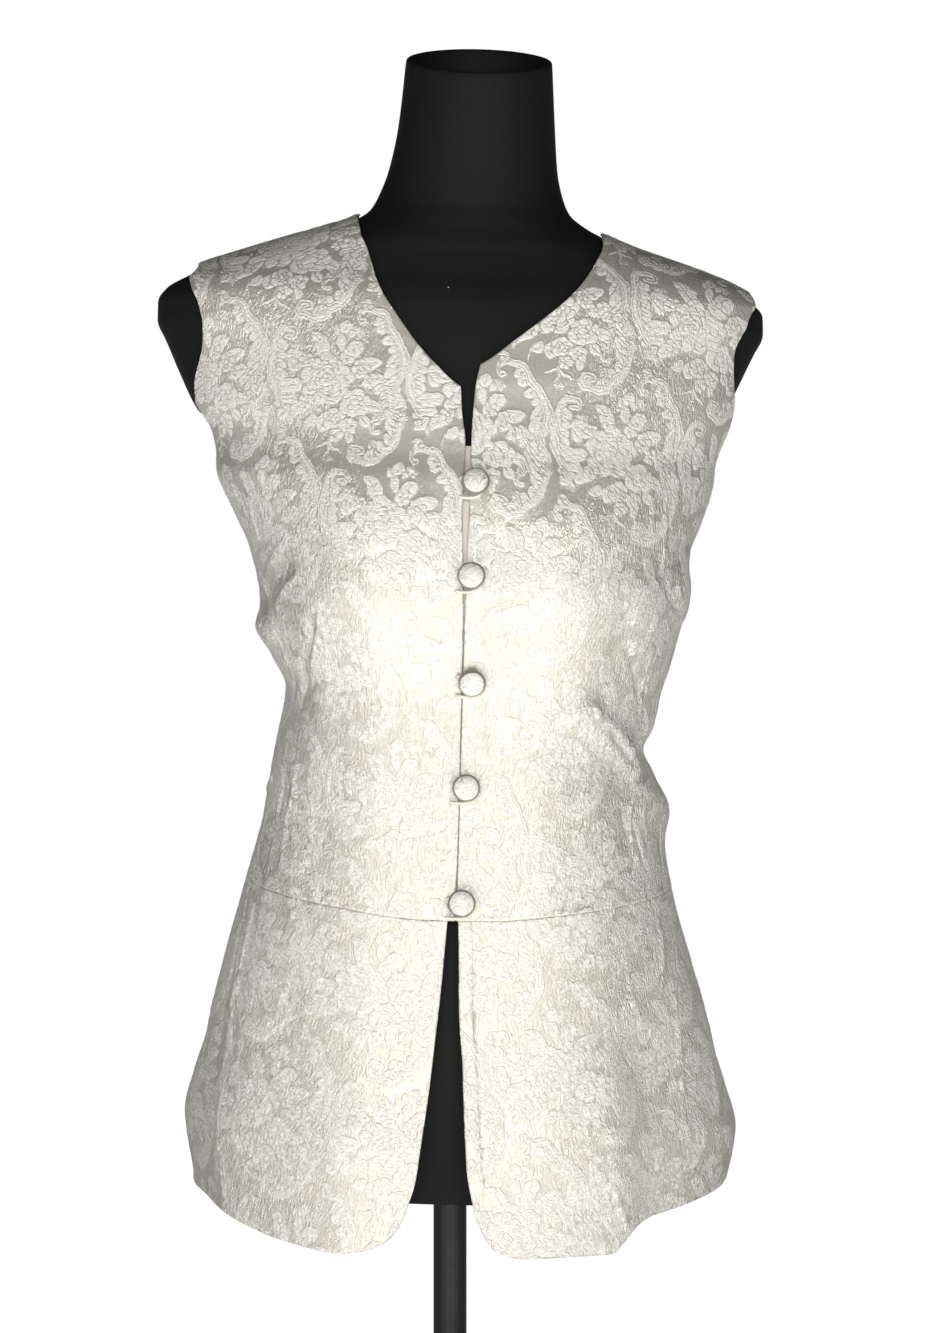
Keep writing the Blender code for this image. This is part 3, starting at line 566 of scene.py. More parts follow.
def fold_depth(angle, height):
    """How far the folds and creases move the cloth outward."""
    total = np.zeros(np.broadcast(angle, height).shape)
    for fold in rows_of(FOLDS):
        x = np.radians(half_turn(angle - fold["angle"])) * FOLD_RADIUS
        across = math.radians(fold["to_angle"] - fold["angle"]) * FOLD_RADIUS
        up = fold["to_height"] - fold["height"]
        total += ridge(fold, *beside(x, height - fold["height"], across, up))
    middle, half = 0.5 * (np.max(angle) + np.min(angle)), 0.5 * (np.max(angle) - np.min(angle))
    for line in CREASE_LINES:
        apart = abs(half_turn(line["middle"] - middle))
        if apart < half + line["half"] and np.min(height) < line["high"] and np.max(height) > line["low"]:
            total += crease_depth(line, angle, height)
    return total


def crease_depth(line, angle, height):
    """How far one crease moves the cloth outward."""
    x, z = np.broadcast_arrays(np.radians(half_turn(angle - line["angle"][0])) * FOLD_RADIUS, height)
    to_x = np.radians(line["angle"] - line["angle"][0]) * FOLD_RADIUS
    to_z = line["height"]
    reach = CREASE_REACH * line["width"]
    near = (x > to_x.min() - reach) & (x < to_x.max() + reach)
    near &= (z > to_z.min() - reach) & (z < to_z.max() + reach)
    least = np.full(near.sum(), np.inf)
    run = np.zeros(len(least))
    for step in range(len(to_x) - 1):
        ahead = (to_x[step + 1] - to_x[step], to_z[step + 1] - to_z[step])
        share, off = beside(x[near] - to_x[step], z[near] - to_z[step], *ahead)
        run = np.where(off < least, (step + share) / (len(to_x) - 1), run)
        least = np.minimum(least, off)
    depth = np.zeros(near.shape)
    depth[near] = ridge(line, run, least)
    return depth


def face(angle, height):
    """Points on the outer face of the cloth."""
    x, y = ring(sections(height), angle)
    turn = np.radians(angle)
    out = fold_depth(angle, height)
    front = np.where(y < 0.0, bust(x, height, CLOTH_BUST), 0.0)
    return np.stack([x + out * np.sin(turn), y - out * np.cos(turn) - front, height + 0.0 * x], axis=-1)


def cloth_and_outward(angle, height):
    """Points on the outer face of the cloth and the direction straight out of it."""
    along = face(angle + HALF_STEP, height) - face(angle - HALF_STEP, height)
    up = face(angle, height + HALF_STEP) - face(angle, height - HALF_STEP)
    outward = np.cross(along, up)
    return face(angle, height), outward / np.linalg.norm(outward, axis=-1, keepdims=True)


def cloth(angle, height, inward=0.0):
    """Points this far behind the outer face of the cloth, or in front of it if negative."""
    angle, height = np.broadcast_arrays(np.asarray(angle, float), np.asarray(height, float))
    points, outward = cloth_and_outward(angle, height)
    return points - inward * outward


def angle_across(across, height, side):
    """The angle where the front of the cloth lies this far from the middle."""
    section = sections(np.asarray(height, float))
    share = across / section[side]
    ahead = section["front"] * (1.0 - share ** section["square"]) ** (1.0 / section["square"])
    return np.degrees(np.arctan2(across, ahead))


def angle_ahead(ahead, height, side, half):
    """The angle where the cloth lies this far forward, or back, of the middle."""
    section = sections(np.asarray(height, float))
    share = ahead / section[half]
    across = section[side] * (1.0 - share ** section["square"]) ** (1.0 / section["square"])
    angle = np.degrees(np.arctan2(across, ahead))
    return angle if half == "front" else 180.0 - angle


def crest_height(reach, side):
    """The height of the shoulder line this far from the middle."""
    heights = np.linspace(*SHOULDER_SPAN, LINE_STEPS)
    return float(np.interp(-reach, -sections(heights)[side], heights))


def gap_angle(angle, height):
    """The angle that half a seam gap takes up at this place."""
    x, y = ring(sections(np.asarray(height, float)), angle)
    return np.degrees(0.5 * SEAM_GAP / np.hypot(x, y))


def length_along(points):
    """The running length of a line of points."""
    return np.concatenate([[0.0], np.cumsum(np.linalg.norm(np.diff(points, axis=0), axis=1))])


def stretch(places, count):
    """Places in even steps on the cloth along a smooth line through a few (angle, height) places."""
    places = np.array(places, float)
    run = length_along(cloth(places[:, 0], places[:, 1]))
    fine = np.linspace(0.0, run[-1], LINE_STEPS)
    line = np.stack([curve(run, places[:, k], fine) for k in (0, 1)], axis=1)
    length = length_along(cloth(line[:, 0], line[:, 1]))
    even = np.linspace(0.0, length[-1], count + 1)
    return np.stack([np.interp(even, length, line[:, k]) for k in (0, 1)], axis=1)


def join(*lines):
    """Lines end to end."""
    return np.concatenate([lines[0]] + [line[1:] for line in lines[1:]])


def along(line, share):
    """Places at these shares of the way along a line of evenly counted places."""
    at = share * (len(line) - 1)
    return np.stack([np.interp(at, np.arange(len(line)), line[:, k]) for k in (0, 1)], axis=-1)


def patch(top, bottom, inner, outer, across, down):
    """A grid of places between four lines, at these shares across and down; the top's shape fades out."""
    top, bottom = along(top, across)[None], along(bottom, across)[None]
    inner, outer = along(inner, down)[:, None], along(outer, down)[:, None]
    across, down = across[None, :, None], down[:, None, None]
    between = (1.0 - across) * inner + across * outer
    top_bow = top - (1.0 - across) * top[:, :1] - across * top[:, -1:]
    bottom_bow = bottom - (1.0 - across) * bottom[:, :1] - across * bottom[:, -1:]
    return between + (1.0 - down) ** TOP_FADE * top_bow + down * bottom_bow


def shoulder_line(side, half):
    """The shoulder seam's ends, half a seam gap to this side of it: (neck, tip)."""
    ends = []
    for reach in (SHOULDER_NECK[side], SHOULDER_TIP):
        height = crest_height(reach, side)
        gap = float(gap_angle(90.0, height))
        ends.append((90.0 - gap if half == "front" else 90.0 + gap, height))
    return ends


def armhole_line(side, half):
    """Places down the armhole's edge, from the shoulder tip to the underarm."""
    tip = shoulder_line(side, half)[1]
    height = tip[1] + (UNDERARM_HEIGHT - tip[1]) * ARMHOLE["share"]
    angle = angle_ahead(ARMHOLE[half] * ARMHOLE_DEPTH[side], height, side, half)
    gap = float(gap_angle(UNDERARM_ANGLE, UNDERARM_HEIGHT))
    end = UNDERARM_ANGLE + (gap if half == "back" else -gap)
    return [tip] + list(zip(angle, height)) + [(end, UNDERARM_HEIGHT)]


def side_line(top, bottom, half):
    """Places down the side seam, half a seam gap to this side of it."""
    height = np.linspace(top, bottom, SIDE_STEPS)
    angle = read(SIDE_SEAM, "angle", height)
    gap = gap_angle(angle, height)
    return list(zip(angle + gap if half == "back" else angle - gap, height))


def front_line(edge, side):
    """Places down a front edge, written as distances from the middle at heights."""
    return list(zip(angle_across(edge["across"], edge["height"], side), edge["height"]))


def waist_height(angle, gap):
    """The height of the waist seam, moved up or down by half a seam gap."""
    return read(WAIST, "height", np.minimum(angle, 360.0 - angle), "angle") + gap


def waist_line(start, end, gap, count):
    """The waist seam between two angles."""
    angle = np.linspace(start, end, WAIST_STEPS)
    return stretch(list(zip(angle, waist_height(angle, gap))), count)


def seam_end(gap, half):
    """Where the side seam meets the waist seam: (angle, height)."""
    angle = float(read(SIDE_SEAM, "angle", SIDE_WAIST_HEIGHT))
    height = float(waist_height(angle, gap))
    return side_line(height, height - 1.0, half)[0]


def front_lines(side):
    """The top, bottom, inner and outer lines of a bodice front."""
    gap = 0.5 * SEAM_GAP
    neck, tip = shoulder_line(side, "front")
    corner, underarm = seam_end(gap, "front"), armhole_line(side, "front")[-1]
    edge = front_line(FRONT_EDGE[side], side)
    start = float(angle_across(FRONT_EDGE[side]["across"][-1], FRONT_WAIST_HEIGHT, side))
    edge[-1] = (start, float(waist_height(start, gap)))
    neck_edge = stretch([neck] + front_line(NECKLINE[side], side), NECK_ROWS * FINE_LINE)
    closing_edge = stretch(edge, EDGE_ROWS * FINE_LINE)
    rows = NECK_ROWS + EDGE_ROWS - ARMHOLE_ROWS
    side_seam = stretch([underarm] + side_line(UNDERARM_HEIGHT, corner[1], "front")[1:], rows * FINE_LINE)
    armhole = stretch(armhole_line(side, "front"), ARMHOLE_ROWS * FINE_LINE)
    top = stretch([neck, tip], FRONT_COLUMNS * FINE_LINE)
    bottom = waist_line(start, corner[0], gap, FRONT_COLUMNS * FINE_LINE)
    return top, bottom, join(neck_edge, closing_edge), join(armhole, side_seam)


def back_lines():
    """The lines of the bodice back, from the wearer's left round to the right."""
    gap = 0.5 * SEAM_GAP
    rows = NECK_ROWS + EDGE_ROWS - ARMHOLE_ROWS
    corner = seam_end(gap, "back")
    armholes, seams = [], []
    for side in ("left", "right"):
        armhole = armhole_line(side, "back")
        seam = stretch([armhole[-1]] + side_line(UNDERARM_HEIGHT, corner[1], "back")[1:], rows * FINE_LINE)
        armhole = stretch(armhole, ARMHOLE_ROWS * FINE_LINE)
        if side == "right":
            armhole[:, 0] = 360.0 - armhole[:, 0]
            seam[:, 0] = 360.0 - seam[:, 0]
        armholes.append(armhole)
        seams.append(seam)
    left_neck, left_tip = shoulder_line("left", "back")
    right_neck, right_tip = [(360.0 - angle, height) for angle, height in shoulder_line("right", "back")]
    neck = [left_neck] + list(zip(BACK_NECK["angle"], BACK_NECK["height"])) + [right_neck]
    left_shoulder = stretch([left_tip, left_neck], SHOULDER_COLUMNS * FINE_LINE)
    neck = stretch(neck, BACK_NECK_COLUMNS * FINE_LINE)
    right_shoulder = stretch([right_neck, right_tip], SHOULDER_COLUMNS * FINE_LINE)
    top = join(left_shoulder, neck, right_shoulder)
    bottom = waist_line(corner[0], 360.0 - corner[0], gap, len(top) - 1)
    return top, bottom, join(armholes[0], seams[0]), join(armholes[1], seams[1])


def side_hem_angle():
    """Where the side seam ends at the hem, and the angle of half a seam gap there."""
    angle = float(read(SIDE_SEAM, "angle", SIDE_HEM_HEIGHT))
    return angle, float(gap_angle(angle, SIDE_HEM_HEIGHT))


def hem_places(start, end):
    """Rows of the hem between two angles, with a place at each end."""
    inside = (HEM["angle"] > start) & (HEM["angle"] < end)
    rows = list(zip(HEM["angle"][inside], HEM["height"][inside]))
    ends = [(angle, float(read(HEM, "height", angle, "angle"))) for angle in (start, end)]
    return [ends[0]] + rows + [ends[1]]


def peplum_front_lines(side):
    """The lines of a peplum front."""
    gap = -0.5 * SEAM_GAP
    corner = seam_end(gap, "front")
    edge = front_line(PEPLUM_EDGE[side], side)
    edge[0] = (edge[0][0], float(waist_height(edge[0][0], gap)))
    seam_angle, half_gap = side_hem_angle()
    seam_angle -= half_gap
    rounded = front_line(PEPLUM_CORNER[side], side)
    first, last = HEM["angle"][0], HEM["angle"][-1]
    if side == "left":
        hem = hem_places(first, seam_angle)
    else:
        hem = [(360.0 - angle, height) for angle, height in hem_places(360.0 - seam_angle, last)][::-1]
    seam = side_line(corner[1], hem[-1][1], "front")
    seam[-1] = hem[-1]
    top = waist_line(edge[0][0], corner[0], gap, PEPLUM_COLUMNS * FINE_LINE)
    bottom = stretch([edge[-1]] + rounded + hem[1:], PEPLUM_COLUMNS * FINE_LINE)
    inner = stretch(edge, PEPLUM_ROWS * FINE_LINE)
    outer = stretch(seam, PEPLUM_ROWS * FINE_LINE)
    return top, bottom, inner, outer


def peplum_back_lines():
    """The lines of the peplum back."""
    gap = -0.5 * SEAM_GAP
    corner = seam_end(gap, "back")
    seam_angle, half_gap = side_hem_angle()
    seam_angle += half_gap
    hem = hem_places(seam_angle, 360.0 - seam_angle)
    left = side_line(corner[1], hem[0][1], "back")
    right = [(360.0 - angle, height) for angle, height in side_line(corner[1], hem[-1][1], "back")]
    left[-1], right[-1] = hem[0], hem[-1]
    top = waist_line(corner[0], 360.0 - corner[0], gap, PEPLUM_BACK_COLUMNS * FINE_LINE)
    bottom = stretch(hem, PEPLUM_BACK_COLUMNS * FINE_LINE)
    left = stretch(left, PEPLUM_ROWS * FINE_LINE)
    right = stretch(right, PEPLUM_ROWS * FINE_LINE)
    return top, bottom, left, right


def on_stand(points):
    """Places in the upright form's frame, moved to the leaning form on its stand, in metres."""
    lean = math.radians(LEAN)
    x, y, z = np.moveaxis(np.asarray(points, float), -1, 0)
    tilted_x = x * math.cos(lean) + z * math.sin(lean)
    tilted_z = z * math.cos(lean) - x * math.sin(lean) + FORM_BOTTOM
    return np.stack([tilted_x, y, tilted_z], axis=-1) * MILLIMETRE


# The jacquard's drawn repeat: bouquets and scrolls, in millimetres on the flat cloth

REPEAT_WIDTH = 92.0
REPEAT_RISE = 90.0
NEAR_ROWS = range(-2, 3)
NEAR_COLUMNS = range(-3, 4)
FIELD_STEP = 0.35
FIELD_MARGIN = 1.4
FIGURE_REACH = 2.0
LINE_HALF = 0.38
LINE_DARK = 1.3
# A shape's own outline and slope reach this far beyond it
SHAPE_MARGIN = 5.0
LOBE_STEPS = 80
STEM_STEPS = 90
TWIG_STEPS = 12
# Farther than any drawn line
FAR = 9.0

# Slow waves that make the drawn shapes uneven; an even count across keeps the repeat's half drop
WAVES = table(
    "across up size start",
    (4, 3, 0.5, 0.0), (6, -2, 0.35, 1.3), (10, 5, 0.25, 2.1), (16, -9, 0.16, 0.7), (24, 13, 0.12, 2.9),
    (34, 20, 0.08, 0.4),
)

BOUQUET_LEAVES = table(
    "across up long wide turn",
    (-20, 12, 15, 5.6, 160), (-24, -2, 14, 5.2, 195), (-18, -14, 12, 4.6, 222), (-8, 19, 14, 5.2, 118),
    (9, 20, 12, 5.0, 62), (18, 14, 13, 4.8, 28), (24, 6, 10, 3.8, 5), (25, -10, 10, 3.8, -22),
    (-4, -22, 10, 4.2, 262), (22, -20, 8, 3.2, -48), (-26, 8, 9, 3.4, 140), (2, 24, 10, 3.6, 96),
    (-11, -22, 9, 3.4, 240), (14, -31, 8, 3.0, -80), (-12, 26, 8, 3.0, 135),
    (3, 35, 7.5, 3.6, 84), (-1, 33, 6, 2.2, 112), (7, 32, 6, 2.2, 60), (33, 4, 4.5, 2.2, 60),
    (35, -1, 4.5, 1.9, -10), (-33, -18, 5, 1.9, 215), (-28, -22, 5, 1.9, 255),
)

# A leaf's half length for each unit of its length, how far its middle is from its stalk, and its midrib
LEAF_HALF = 0.62
LEAF_MIDDLE = 0.35
MIDRIB = 0.74

# Rings of petals, outermost first: how many, how far out, and each petal's size
PETAL_RINGS = {
    "rose": table(
        "count out long wide start",
        (9, 14.6, 3.9, 4.2, 14), (8, 12.4, 4.8, 5.2, 36), (7, 9.6, 4.2, 3.8, 4), (6, 7.2, 4.6, 3.9, 30),
        (5, 4.6, 4.4, 3.4, 0), (4, 2.4, 3.2, 2.4, 40), (1, 0.0, 1.6, 1.4, 15),
    ),
    "open": table(
        "count out long wide start",
        (6, 6.0, 3.9, 3.7, 10), (6, 3.4, 1.9, 1.9, 40), (1, 0.0, 2.3, 2.3, 0),
    ),
    "small": table("count out long wide start", (5, 3.1, 2.3, 2.3, 18), (1, 0.0, 1.3, 1.3, 0)),
}
PETAL_UNEVEN = 0.11
PETAL_WANDER = 0.06
FLOWERS = {
    "open": table("across up size turn", (16, -11, 1.05, 12), (3, -23, 0.75, 30), (17, 12, 0.66, 5)),
    "small": table(
        "across up size turn",
        (24, 4, 1.0, 40), (13, -26, 1.1, 5), (-17, -12, 1.05, 60), (7, 19, 1.0, 20), (6, -33, 0.9, 50),
        (-20, 14, 0.8, 33),
    ),
    "rose": table("across up size turn", (-5, 2, 0.92, 0)),
}
TWIGS = (
    table("across up half", (2, -30, 0.9), (1, -36, 0.9), (-2, -39, 0.8), (-6, -42, 0.7)),
    table("across up half", (1, -36, 0.9), (2, -42, 0.8), (0, -47, 0.7)),
    table("across up half", (1, -36, 0.9), (5, -41, 0.8), (10, -44, 0.7)),
    table("across up half", (-14, -22, 0.9), (-17, -28, 0.8), (-18, -34, 0.7)),
)

# Leafy scrolls: a curling stem with its half width
SCROLL_STEMS = {
    "tall": table(
        "across up half",
        (-33.2, 27.4, 1.5), (-30.6, 27.6, 1.3), (-29.8, 31.0, 1.4), (-32.6, 33.8, 1.6), (-37.0, 33.0, 1.9),
        (-40.4, 28.4, 2.1), (-42.4, 21, 2.3), (-43.0, 12, 2.4), (-42.0, 3, 2.3), (-39.4, -5, 2.0),
        (-35.6, -11.6, 1.5), (-31, -16.6, 0.7),
    ),
    "arch": table(
        "across up half",
        (14.2, 44.6, 1.5), (11.6, 43.4, 1.3), (9.6, 46.4, 1.4), (11.4, 50.4, 1.7), (16.2, 52.8, 2.0),
        (22.4, 52.0, 2.2), (27.8, 47.6, 2.3), (31.6, 41, 2.3), (36.4, 35.4, 2.3), (41.0, 28.4, 2.3),
        (43.4, 19.5, 2.2), (43.0, 10.5, 1.9), (40.0, 2.5, 1.4), (36.4, -2.6, 0.7),
    ),
    "rising": table(
        "across up half",
        (-24.4, 46.0, 1.5), (-22.6, 47.8, 1.3), (-24.2, 50.4, 1.4), (-27.6, 49.6, 1.6), (-28.6, 45.4, 1.8),
        (-25.6, 41.6, 2.0), (-19.4, 40.6, 2.2), (-12.6, 43.4, 2.3), (-6.4, 49, 2.3), (-2.0, 57, 2.3),
        (0.6, 65.4, 2.1), (0.8, 73.6, 1.8), (-2.0, 80.4, 1.2), (-6.4, 84.6, 0.7),
    ),
    "small": table(
        "across up half",
        (-12.6, 61.4, 1.2), (-14.4, 59.6, 1.1), (-17.2, 61.4, 1.2), (-17.4, 65.6, 1.4), (-14.0, 70, 1.5),
        (-13.0, 75.6, 1.3), (-15.6, 80, 0.6),
    ),
}
# The lobes along each stem, in runs: which stretch, how many, which side, size, and lean along the stem
SCROLL_LOBES = {
    "tall": table(
        "start end count side long wide lean",
        (0.26, 0.56, 3, 1, 8.2, 3.8, 34), (0.54, 0.97, 4, 1, 11.6, 4.2, 44),
        (0.84, 0.98, 2, -1, 5.0, 2.5, 52),
    ),
    "arch": table(
        "start end count side long wide lean",
        (0.24, 0.50, 3, -1, 8.0, 3.6, 34), (0.48, 0.97, 5, -1, 11.4, 4.2, 46),
        (0.86, 0.98, 2, 1, 5.0, 2.4, 52),
    ),
    "rising": table(
        "start end count side long wide lean",
        (0.26, 0.52, 3, 1, 7.6, 3.6, 34), (0.50, 0.97, 5, 1, 10.8, 4.0, 46),
        (0.84, 0.98, 2, -1, 5.2, 2.5, 50),
    ),
    "small": table(
        "start end count side long wide lean",
        (0.40, 0.96, 3, 1, 5.6, 2.6, 42), (0.50, 0.96, 2, -1, 4.6, 2.2, 46),
    ),
}
# Lobes are longest in the middle of a run; a stem is swollen, with a line engraved along its rim
LOBE_ENDS = 0.72
LOBE_UNEVEN = 0.12
STEM_SWELL = 1.3
RIM_DEPTH = 1.5

# Tufts of small leaves where scrolls end
TUFTS = table(
    "across up turn size",
    (-29, -18, 250, 1.6), (37, 1, 270, 1.5), (-3, 80, 110, 1.6), (12, 39, 250, 1.0), (-27, 23, 280, 1.0),
)
# Sprigs of three leaves between the scrolls
SPRIGS = table(
    "across up turn size",
    (19, 66, 90, 1.0), (-36, 62, 120, 0.85), (46, -20, 80, 0.9), (-44, 40, 70, 0.7), (29, -36, -40, 0.8),
    (-31, -33, 230, 0.9),
)
# Each of their leaves: how far it swings from the middle, and its length
SMALL_LEAVES = (
    (SPRIGS, ((0.0, 8.5), (48.0, 6.5), (-48.0, 6.5))),
    (TUFTS, ((62.0, 5.0), (-62.0, 5.0), (28.0, 6.5), (-28.0, 6.5))),
)
SMALL_LEAF_WIDTH = 1.9


def smooth_line(rows, steps):
    """A line's points and half widths on smooth curves."""
    points = np.stack([rows["across"], rows["up"]], axis=1)
    run = length_along(points)
    fine = np.linspace(0.0, run[-1], steps)
    return [curve(run, rows[name], fine) for name in ("across", "up", "half")]


def inside_oval(x, y, long, wide):
    """How far inside an oval a place is."""
    near = np.hypot(x / long, y / wide) + 1e-6
    slope = np.hypot(x / long**2, y / wide**2) + 1e-9
    return near * (1.0 - near) / slope


def inside_leaf(x, y, long, wide):
    """How far inside a leaf with two points a place is."""
    radius = (long**2 + wide**2) / (2.0 * wide)
    return radius - np.hypot(x, np.abs(y) + radius - wide)


def inside_stem(x, y, line):
    """How far inside a stem that follows a line a place is."""
    best = np.full(x.shape, -FAR)
    points = list(zip(*line))
    for (x0, y0, r0), (x1, y1, r1) in zip(points[:-1], points[1:]):
        share, off = beside(x - x0, y - y0, x1 - x0, y1 - y0)
        best = np.maximum(best, r0 + share * (r1 - r0) - np.sqrt(off))
    return best


def windows(field, x, y, reach):
    """The parts of the repeat that a shape at (x, y) touches, with its own coordinates there."""
    for row in NEAR_ROWS:
        for column in NEAR_COLUMNS:
            middle = (x + (column + 0.5 * row) * REPEAT_WIDTH, y + row * REPEAT_RISE)
            spans = []
            for axis, centre in zip(("x", "y"), middle):
                spans.append(slice(*np.searchsorted(field[axis], (centre - reach, centre + reach))))
            if spans[0].start < spans[0].stop and spans[1].start < spans[1].stop:
                part = (spans[1], spans[0])
                yield part, field["wavy_x"][part] - middle[0], field["wavy_y"][part] - middle[1]


def in_shape(x, y, degrees):
    """Coordinates turned into a shape's own directions."""
    c, s = math.cos(math.radians(degrees)), math.sin(math.radians(degrees))
    return c * x + s * y, c * y - s * x


def lay(field, place, reach, inside):
    """Lays one shape over what is drawn: it covers the lines under it and adds its own outline."""
    x, y, turn = place
    for part, px, py in windows(field, x, y, reach + SHAPE_MARGIN):
        depth = inside(*in_shape(px, py, turn))
        line = field["line"][part]
        field["line"][part] = np.where(depth > 0.0, depth, np.minimum(line, -depth))
        field["figure"][part] = np.maximum(field["figure"][part], depth)


def engrave(field, place, reach, distance):
    """Draws a line on what is laid."""
    x, y, turn = place
    for part, px, py in windows(field, x, y, reach):
        field["line"][part] = np.minimum(field["line"][part], distance(*in_shape(px, py, turn)))


def lay_leaf(field, x, y, long, wide, turn):
    """A leaf with a midrib."""
    half = LEAF_HALF * long
    c, s = math.cos(math.radians(turn)), math.sin(math.radians(turn))
    place = (x + LEAF_MIDDLE * long * c, y + LEAF_MIDDLE * long * s, turn)
    lay(field, place, half, lambda px, py: inside_leaf(px, py, half, wide))
    engrave(field, place, half, lambda px, py: np.where(np.abs(px) < MIDRIB * half, np.abs(py), FAR))


def lay_flower(field, flower, rings):
    """A flower of overlapping petals, each a little uneven in size and place."""
    for petals in rows_of(rings):
        for number in range(int(petals["count"])):
            degrees = flower["turn"] + petals["start"] + 360.0 * number / petals["count"]
            angle = math.radians(degrees)
            size = flower["size"] * (1.0 + PETAL_UNEVEN * math.sin(2.7 * number + petals["out"]))
            out = flower["size"] * petals["out"] * (1.0 + PETAL_WANDER * math.sin(4.1 * number + 1.0))
            x, y = flower["across"] + out * math.cos(angle), flower["up"] + out * math.sin(angle)
            long, wide = size * petals["long"], size * petals["wide"]
            place = (x, y, degrees + 90.0)
            lay(field, place, max(long, wide), lambda px, py: inside_oval(px, py, long, wide))


def lay_line(field, rows, steps):
    """A stem, and its own coordinates for drawing on it."""
    line = smooth_line(rows, steps)
    middle = (line[0].mean(), line[1].mean(), 0.0)
    local = [line[0] - middle[0], line[1] - middle[1], line[2]]
    reach = np.hypot(local[0], local[1]).max() + local[2].max()
    lay(field, middle, reach, lambda px, py: inside_stem(px, py, local))
    return middle, reach, local


def lay_lobes(field, line, runs):
    """Rounded lobes with a vein each, leaning along a stem."""
    across, up, _ = line
    for run in rows_of(runs):
        for number in range(int(run["count"])):
            share = (number + 0.5) / run["count"]
            spot = int((run["start"] + (run["end"] - run["start"]) * share) * (len(across) - 1))
            ahead = min(spot + 1, len(across) - 1)
            heading = math.degrees(math.atan2(up[ahead] - up[ahead - 1], across[ahead] - across[ahead - 1]))
            size = LOBE_ENDS + (1.0 - LOBE_ENDS) * math.sin(math.pi * share)
            size *= 1.0 + LOBE_UNEVEN * math.sin(2.3 * number + run["long"])
            long, wide = size * run["long"], size * run["wide"]
            finger = [(0.0, long), (0.0, 0.0), (0.6 * wide, wide)]
            place = (across[spot], up[spot], heading + run["side"] * (90.0 - run["lean"]))
            lay(field, place, long + wide, lambda px, py: inside_stem(px, py, finger))
            engrave(field, place, long, lambda px, py: np.where((px > 0.0) & (px < long), np.abs(py), FAR))


def lay_scroll(field, name):
    """A scroll: its lobes, then the curling stem with a line along its rim."""
    lay_lobes(field, smooth_line(SCROLL_STEMS[name], LOBE_STEPS), SCROLL_LOBES[name])
    stem = {**SCROLL_STEMS[name], "half": STEM_SWELL * SCROLL_STEMS[name]["half"]}
    middle, reach, local = lay_line(field, stem, STEM_STEPS)
    engrave(field, middle, reach, lambda px, py: np.abs(inside_stem(px, py, local) - RIM_DEPTH))


def soften(values):
    """Values averaged with their neighbours."""
    for axis in (0, 1):
        values = 0.25 * np.roll(values, 1, axis) + 0.5 * values + 0.25 * np.roll(values, -1, axis)
    return values


def draw_jacquard():
    """The repeat: how far inside the figure each place is, and how dark its drawn line is."""
    field = {
        "x": np.arange(-FIELD_MARGIN, REPEAT_WIDTH + FIELD_MARGIN, FIELD_STEP),
        "y": np.arange(-FIELD_MARGIN, REPEAT_RISE + FIELD_MARGIN, FIELD_STEP),
    }
    shape = (len(field["y"]), len(field["x"]))
    field["figure"] = np.full(shape, -FAR)
    field["line"] = np.full(shape, FAR)
    x, y = np.meshgrid(field["x"], field["y"])
    field["wavy_x"], field["wavy_y"] = x + 0.0, y + 0.0
    for wave in rows_of(WAVES):
        phase = 2.0 * math.pi * (wave["across"] * x / REPEAT_WIDTH + wave["up"] * y / REPEAT_RISE)
        field["wavy_x"] += wave["size"] * np.sin(phase + wave["start"])
        field["wavy_y"] += wave["size"] * np.cos(1.0 + phase - wave["start"])
    for name in SCROLL_STEMS:
        lay_scroll(field, name)
    for leaves, swings in SMALL_LEAVES:
        for leaf in rows_of(leaves):
            size = leaf["size"]
            for swing, length in swings:
                long, wide, turn = size * length, size * SMALL_LEAF_WIDTH, leaf["turn"] + swing
                lay_leaf(field, leaf["across"], leaf["up"], long, wide, turn)
    for twig in TWIGS:
        lay_line(field, twig, TWIG_STEPS)
    for leaf in rows_of(BOUQUET_LEAVES):
        lay_leaf(field, leaf["across"], leaf["up"], leaf["long"], leaf["wide"], leaf["turn"])
    for kind, flowers in FLOWERS.items():
        for flower in rows_of(flowers):
            lay_flower(field, flower, PETAL_RINGS[kind])
    dark = np.where(field["figure"] > 0.0, np.clip(LINE_DARK - field["line"] / LINE_HALF, 0.0, 1.0), 0.0)
    return np.clip(field["figure"], -FIGURE_REACH, FIGURE_REACH), soften(dark)


def read_repeat(values, across, up):
    """Values of the repeat at flat places; each row of bouquets is moved half a repeat sideways."""
    row = np.floor(up / REPEAT_RISE)
    x = (across - 0.5 * REPEAT_WIDTH * row) % REPEAT_WIDTH
    y = up - REPEAT_RISE * row
    column, line = (x + FIELD_MARGIN) / FIELD_STEP, (y + FIELD_MARGIN) / FIELD_STEP
    j, i = np.floor(column).astype(int), np.floor(line).astype(int)
    fj, fi = column - j, line - i
    j1, i1 = np.minimum(j + 1, values.shape[1] - 1), np.minimum(i + 1, values.shape[0] - 1)
    upper = (1.0 - fj) * values[i, j] + fj * values[i, j1]
    lower = (1.0 - fj) * values[i1, j] + fj * values[i1, j1]
    return (1.0 - fi) * upper + fi * lower


JACQUARD = draw_jacquard()


# The cloth laid flat


